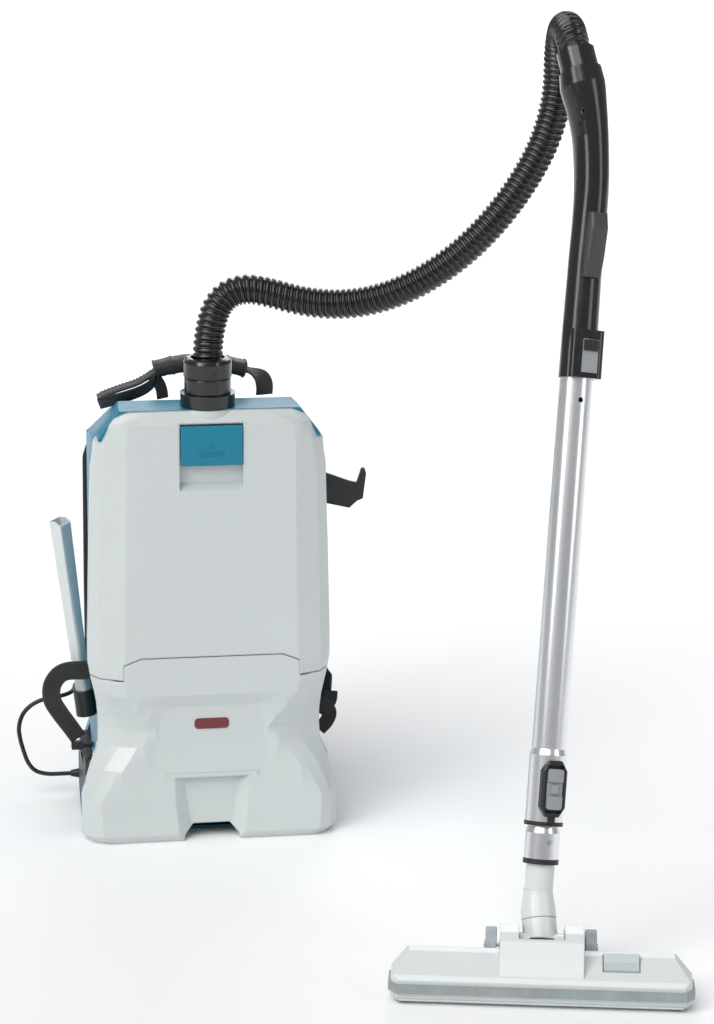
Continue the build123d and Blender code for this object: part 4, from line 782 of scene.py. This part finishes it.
# shoulder straps: padded upper part, webbing below, with an adjuster between
def shoulder(sx, label):
    x = 62 * sx
    top = [(88.5, 450.5), (99, 452.5), (112, 450), (124, 448.5), (136, 436.5), (142.5, 416), (145.6, 385), (146.4, 340), (146.0, 296), (143.2, 258), (139.5, 230)]
    path = smooth_path([mm(x, y, z) for y, z in top], 10)
    pad_path = path[26:]

    def w(f):
        return 0.050 * min(1.0, 0.52 + 5.0 * f) * min(1.0, 0.60 + 4.5 * (1 - f)) + 0.002

    def t(f):
        return 0.0032 + 0.0078 * min(1.0, 9 * f) * min(1.0, 9 * (1 - f))
    pad = band("shoulder_pad_" + label, pad_path, (1, 0, 0), 0.052, 0.009, m_cloth, power=3.2, seg=44, widths=w, thicks=t, wave=lambda f, l: 0.0003 * math.sin(l * 160))
    mixed(pad, m_mesh, lambda c: False)
    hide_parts("shoulder_straps")
    # edge binding, and the webbing sewn down the middle of the outer face
    e = even(pad_path, 0.004)
    s = lengths(e)
    out_line, b1, b2, n1, n2 = [], [], [], [], []
    for i, p in enumerate(e):
        f = s[i] / s[-1]
        tg = (e[min(i + 1, len(e) - 1)] - e[max(i - 1, 0)]).normalized()
        nv = tg.cross(V((1, 0, 0)))
        if nv.y < 0 and i > 8 or (i <= 8 and nv.z < 0):
            nv = -nv
        out_line.append(p + nv * (t(f) / 2 + 0.0004))
        hw = w(f) / 2
        b1.append(p + V((1, 0, 0)) * (hw - 0.0012))
        b2.append(p - V((1, 0, 0)) * (hw - 0.0012))
        n1.append(p + V((1, 0, 0)) * (hw - 0.0065) + nv * (t(f) / 2 * 0.93))
        n2.append(p - V((1, 0, 0)) * (hw - 0.0065) + nv * (t(f) / 2 * 0.93))
    for k, line in enumerate((b1, b2)):
        tube("shoulder_binding_%s_%d" % (label, k), line, 0.0019, m_cloth, seg=8, step=0.005)
    nv0 = (0, 1, 0)
    stitches("shoulder_stitches_" + label, [n1[2:-2], n2[2:-2]], nv0, spacing=0.0046)
    over = band("shoulder_webbing_" + label, out_line[3:], (1, 0, 0), 0.025, 0.0016, m_web, step=0.004)
    stitches("shoulder_bar_tacks_" + label, [[p + V((dx, 0.0014, 0)) for p in out_line[k:k + 5]] for k in (8, 34, 58) for dx in (-0.009, 0.0, 0.009)], nv0, spacing=0.0028, size=0.0022)
    band("shoulder_top_webbing_" + label, path[:34], (1, 0, 0), 0.026, 0.0022, m_web, step=0.003)
    # webbing from the adjuster down to the belt
    low = smooth_path([mm(x, y, z) for y, z in ((140.5, 236), (137, 214), (131.5, 184), (124, 164), (113.5, 151.5), (109.4, 150.5))], 8)
    band("shoulder_lower_webbing_" + label, low, (1, 0, 0), 0.025, 0.0018, m_web, step=0.003)
    tail = smooth_path([mm(x + 1, y, z) for y, z in ((143.6, 230), (146.5, 212), (145.5, 196), (146.0, 183))], 8)
    band("shoulder_free_tail_" + label, tail, (1, 0.06, 0), 0.025, 0.0016, m_web, step=0.003, wave=lambda f, l: 0.0008 * math.sin(l * 120))
    # ladder-lock adjuster: a frame with two bars
    verts, faces = [], []
    bars = []
    c0, tdir, ndir = mm(x, 139.8, 229), V((0, 0.16, 0.987)), V((0, 0.987, -0.16))
    for dz in (-0.012, -0.001, 0.011):
        bars.append(([c0 + V((-0.0165, 0, 0)) + tdir * dz + ndir * 0.001, c0 + V((0.0165, 0, 0)) + tdir * dz + ndir * 0.001], 0.0021))
    for dx in (-0.0165, 0.0165):
        bars.append(([c0 + V((dx, 0, 0)) + tdir * -0.0135 + ndir * 0.001, c0 + V((dx, 0, 0)) + tdir * 0.0125 + ndir * 0.001], 0.0026))
    for k, (line, r) in enumerate(bars):
        tube("adjuster_%s_%d" % (label, k), line, r, m_black, seg=12, step=0.004)


shoulder(-1, "right")
shoulder(1, "left")

# waist belt: padded centre and wing, webbing end folded forward
belt = smooth_path([mm(*p) for p in ((-124.5, 110.8, 120), (-90, 111.4, 120), (0, 112.2, 120), (90, 111.4, 120), (127, 110.6, 120), (141, 102.4, 119), (151.5, 90.5, 117), (158.5, 74, 115))], 10)
wb = band("waist_belt_pad", belt, (0, 0, 1), 0.056, 0.0072, m_cloth, power=3.4, seg=44,
          widths=lambda f: 0.056 * min(1.0, 0.62 + 3.2 * (1 - f)), thicks=lambda f: 0.0034 + 0.0052 * min(1.0, 10 * f + 0.3) * min(1.0, 5 * (1 - f)),
          wave=lambda f, l: 0.0003 * math.sin(l * 90))
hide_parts("waist_belt")
bl = lengths(belt)
tacks, nrm = [], []
for dz in (-0.0195, 0.0195):
    tacks.append([p + V((0, 0.0040, dz)) for p in belt[3:48]])
    nrm.append((0, 1, 0))
for xx in (-70, -24, 24, 70):
    tacks.append([mm(xx, 115.5, z) for z in range(100, 141, 2)])
    nrm.append((0, 1, 0))
stitches("waist_belt_stitches", tacks, nrm, spacing=0.0046)
band("waist_belt_webbing", [p + V((0, 0.0042, 0)) for p in belt[6:46]], (0, 0, 1), 0.030, 0.0016, m_web, step=0.004)
stub = smooth_path([mm(*p) for p in ((141.5, 63.4, 101), (150, 63.4, 97), (155.8, 63.4, 88), (152.0, 63.4, 77), (143.5, 63.4, 68))], 8)
band("belt_stub_webbing", stub, flat_dir(stub, (0, 1, 0)), 0.017, 0.0018, m_web, step=0.002)
stub2 = smooth_path([mm(*p) for p in ((157.5, 72, 112), (156, 67, 103), (151, 65.2, 94), (146, 64.8, 86))], 8)
band("belt_stub_fold", stub2, (1, 0.2, 0.5), 0.018, 0.0018, m_web, step=0.002)

# webbing loop on the right-hand side of the pack
loop = smooth_path([mm(*p) for p in ((-117, -24.8, 180.5), (-136, -24.6, 180.8), (-154, -24.2, 180.2), (-164.5, -24.6, 175.0), (-171.6, -25.2, 163.0), (-171.4, -25.8, 147.0), (-163.0, -25.6, 131.5), (-151.5, -25.2, 114.5), (-143.0, -25.0, 101.0))], 10)
lb = band("webbing_loop_band", loop, flat_dir(loop, (0, 1, 0)), 0.0220, 0.0017, m_web, step=0.002, widths=lambda f: 0.0222 - 0.0035 * f, wave=lambda f, l: 0.0006 * math.sin(l * 70))
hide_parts("belt_loop_strap")
side1, side2 = [], []
fd = flat_dir(loop, (0, 1, 0))
ls = lengths(loop)
for i, p in enumerate(loop):
    f = ls[i] / ls[-1]
    d = fd(f)
    side1.append(p + d * (0.0092 - 0.0016 * f) + V((0, -0.0010, 0)))
    side2.append(p - d * (0.0092 - 0.0016 * f) + V((0, -0.0010, 0)))
stitches("webbing_loop_stitches", [side1, side2], (0, -1, 0), spacing=0.0036, size=0.0025, r=0.00035)

# carry strap over the roof, with its wrapped grip
arch = smooth_path([mm(x, y, z) for x, y, z in ((-113, 28, 480.5), (-104, 28, 484.5), (-88, 28.5, 490.0), (-70, 29.5, 495.5), (-58, 30.5, 501.5), (-48, 30.5, 507.5), (-20, 30.5, 515), (20, 30.5, 514.5), (51, 30.5, 507.8), (61, 30, 504.5), (70, 29.5, 498), (74.0, 29, 489.5), (73.6, 28.5, 479.0))], 9)


def strap_turn(f):
    k = max(0.0, min(1.0, (f - 0.80) / 0.12))
    return V((0, 1, 0)).lerp(V((0.80, 0.60, 0.0)), k * k * (3 - 2 * k))


cs = band("carry_strap_webbing", arch, strap_turn, 0.025, 0.0028, m_web, step=0.003)
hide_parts("carry_strap")
under = smooth_path([mm(*p) for p in ((-112, 22, 474.5), (-100, 21, 477.5), (-84, 20, 482), (-66, 20, 488), (-54, 21, 495), (-48.5, 23, 502))], 9)
band("carry_strap_second_layer", under, (0.05, 0.75, -0.65), 0.024, 0.0026, m_web, step=0.003)
side = smooth_path([mm(*p) for p in ((-52, 22, 505), (-46, 20.5, 498), (-42.5, 20, 490), (-41, 20, 479.5))], 9)
band("carry_strap_inner_layer", side, (0.9, 0.30, 0.3), 0.0135, 0.0022, m_web, step=0.003)
es1 = [p + V((0, -0.0100, 0.0016)) for p in arch[4:-4]]
es2 = [p + V((0, 0.0100, 0.0016)) for p in arch[4:-4]]
stitches("carry_strap_stitches", [es1, es2], (0, 0, 1), spacing=0.0042)
gp = smooth_path([mm(x, 30.5, z) for x, z in ((-49.5, 509.8), (-36, 513.2), (-20, 515.8), (0, 516.6), (20, 515.8), (38, 512.5), (52, 508.8))], 12)
grip = band("carry_grip_wrap", gp, (0, 1, 0), 0.031, 0.0140, m_vinyl, power=2.9, seg=56,
            thicks=lambda f: 0.0172 + 0.0012 * math.sin(math.pi * f) + 0.0004 * math.sin(f * 41), widths=lambda f: 0.0295 + 0.0012 * math.sin(math.pi * f) + 0.0005 * math.sin(f * 33 + 1), step=0.0016)
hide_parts("carry_grip")
gs = lengths(gp)
for k, f in enumerate((0.015, 0.2, 0.80, 0.985)):
    c = at_length(gp, gs, gs[-1] * f)
    t = (at_length(gp, gs, gs[-1] * min(1, f + 0.02)) - at_length(gp, gs, gs[-1] * max(0, f - 0.02))).normalized()
    n = t.cross(V((0, 1, 0))).normalized()
    ring = []
    for i in range(41):
        a = 2 * math.pi * i / 40
        x = math.copysign(abs(math.cos(a)) ** (2 / 2.9), math.cos(a)) * 0.0153
        y = math.copysign(abs(math.sin(a)) ** (2 / 2.9), math.sin(a)) * 0.0092
        ring.append(c + V((0, 1, 0)) * x + n * y)
    tube("carry_grip_piping_%d" % k, ring, 0.00095, m_web_grey, seg=8, step=0.002, closed=True)
stitches("carry_grip_stitches", [[p + V((0, -0.0105, -0.0072)) for p in gp[4:-4]], [p + V((0, 0.0105, -0.0072)) for p in gp[4:-4]]], (0, 0, -1), spacing=0.0048, mat=m_thread)

# the release button: a dark thumb pad on its upper half
WO, WX, WY, WU = V((0.2858, -0.4943, 0.1583)), V((0.98159, 0.11862, -0.14972)), V((-0.15503, 0.95264, -0.26160)), V((0.11160, 0.28000, 0.95349))


def wand(x, y, z):
    return WO + WX * (x / 1000) + WY * (y / 1000) + WU * (z / 1000)


def slab(name, cx, cy, cz, w, d, h, r, mat, body):
    """Rounded slab in the wand frame: w across, h along, d deep."""
    pts = []
    for k in range(40):
        a = 2 * math.pi * (k + 0.5) / 40
        qx = math.copysign(w / 2 - r, math.cos(a)) + r * math.cos(a)
        qz = math.copysign(h / 2 - r, math.sin(a)) + r * math.sin(a)
        pts.append((qx, qz))
    verts, faces = [], []
    for lift, grow in ((d / 2, 0.0), (-d / 2 + 0.25, 0.0), (-d / 2, -0.35)):
        for qx, qz in pts:
            g = 1 + grow / max(w, h) * 2
            verts.append(wand(cx + qx * g, cy + lift, cz + qz * g))
    n = len(pts)
    for lay in range(2):
        for k in range(n):
            faces.append((lay * n + k, lay * n + (k + 1) % n, (lay + 1) * n + (k + 1) % n, (lay + 1) * n + k))
    faces.append(tuple(range(n - 1, -1, -1)))
    faces.append(tuple(2 * n + k for k in range(n)))
    ob = new_mesh(name, verts, faces, mat, body, smooth=False)
    fix_normals(ob)
    return ob


slab("button_thumb_pad", 5.0, -22.2, 463 + 10.5, 16.0, 0.9, 11.2, 1.2, m_black, "pipe_button")
for k in range(3):
    slab("button_thumb_rib_%d" % k, 5.0, -22.8, 463 + 7.5 + 3.0 * k, 11.0, 0.8, 0.9, 0.3, m_black, "pipe_button")

# closed rear corners of the floor nozzle's housing
def nz(x, y, z):
    return V((0.2761, -0.5433, 0)) + V((0.977, -0.213, 0)) * (x / 1000) + V((0.213, 0.977, 0)) * (y / 1000) + V((0, 0, z / 1000))


for sx, side_name in ((-1, "right"), (1, "left")):
    rim = [(100.0, 5.0, 35.5), (131.0, 2.85, 35.5), (146.8, -16.0, 25.5), (146.8, -26.0, 25.5)]
    inner = [(100.0, 3.4, 35.5), (130.2, 1.2, 35.5), (145.3, -16.6, 25.5), (145.3, -26.0, 25.5)]
    verts, faces = [], []
    for line in (rim, inner):
        for x, y, top in line:
            verts.append(nz(sx * x, y, 7.2))
            verts.append(nz(sx * x, y, top))
    for k in range(3):
        faces.append((2 * k, 2 * k + 2, 2 * k + 3, 2 * k + 1))
        faces.append((8 + 2 * k, 9 + 2 * k, 11 + 2 * k, 10 + 2 * k))
        faces.append((2 * k + 1, 2 * k + 3, 8 + 2 * k + 3, 8 + 2 * k + 1))
        faces.append((2 * k, 8 + 2 * k, 8 + 2 * k + 2, 2 * k + 2))
    faces.append((0, 1, 9, 8))
    faces.append((6, 14, 15, 7))
    cap = new_mesh("nozzle_rear_corner_" + side_name, verts, faces, m_nozzle, "nozzle_head", smooth=False)
    fix_normals(cap)

# ------------------------------------------------------------------ floor and light
fm = Nodes("floor")
g = fm.noise(1.3, 4, 0.6)
fm.link(fm.mix(fm.remap(g, 0.3, 0.7, 0, 1), (0.945, 0.95, 0.955), (0.955, 0.96, 0.965)), fm.bsdf.inputs["Base Color"])
fm.bsdf.inputs["Roughness"].default_value = 0.7
fm.link(fm.bump(fm.noise(180.0, 3), 0.03, 0.0005), fm.bsdf.inputs["Normal"])
fl = bpy.data.meshes.new("floor")
fl.from_pydata([(-14, -14, 0), (14, -14, 0), (14, 14, 0), (-14, 14, 0)], [], [(0, 1, 2, 3)])
floor = bpy.data.objects.new("floor", fl)
fl.materials.append(fm.mat)
scene.collection.objects.link(floor)

world = bpy.data.worlds.new("studio")
scene.world = world
world.use_nodes = True
bg = world.node_tree.nodes["Background"]
bg.inputs[0].default_value = (0.93, 0.96, 1.0, 1)
bg.inputs[1].default_value = 0.30


def area(name, loc, target, size, power, color=(1, 1, 1), shape="RECTANGLE", size_y=None):
    ld = bpy.data.lights.new(name, "AREA")
    ld.shape = shape
    ld.size = size
    ld.size_y = size_y or size
    ld.energy = power
    ld.color = color
    ob = bpy.data.objects.new(name, ld)
    scene.collection.objects.link(ob)
    ob.location = loc
    d = V(target) - V(loc)
    ob.rotation_euler = d.to_track_quat("-Z", "Y").to_euler()
    return ob


sun_data = bpy.data.lights.new("sun", "SUN")
sun_data.energy = 1.85
sun_data.angle = rad(55)
sun_data.color = (1.0, 0.995, 0.985)
sun = bpy.data.objects.new("sun", sun_data)
scene.collection.objects.link(sun)
sun.rotation_euler = V((0.40, 0.42, -0.82)).to_track_quat("-Z", "Y").to_euler()
area("key", (-1.9, -1.7, 1.9), (0.05, -0.1, 0.35), 0.9, 16, (1.0, 0.99, 0.97), size_y=1.5)
area("fill", (2.1, -1.9, 1.4), (0.1, -0.2, 0.4), 0.8, 8, (0.97, 0.98, 1.0), size_y=1.5)
area("back", (0.6, 2.4, 1.8), (0.0, 0.0, 0.4), 1.6, 16, (0.97, 0.98, 1.0))
area("far_floor", (1.2, 7.5, 4.5), (1.6, 9.0, 0.0), 9.0, 380, (1.0, 1.0, 1.0), size_y=7.0)

scene.view_settings.view_transform = "Standard"
scene.view_settings.look = "None"
scene.view_settings.exposure = 0.0
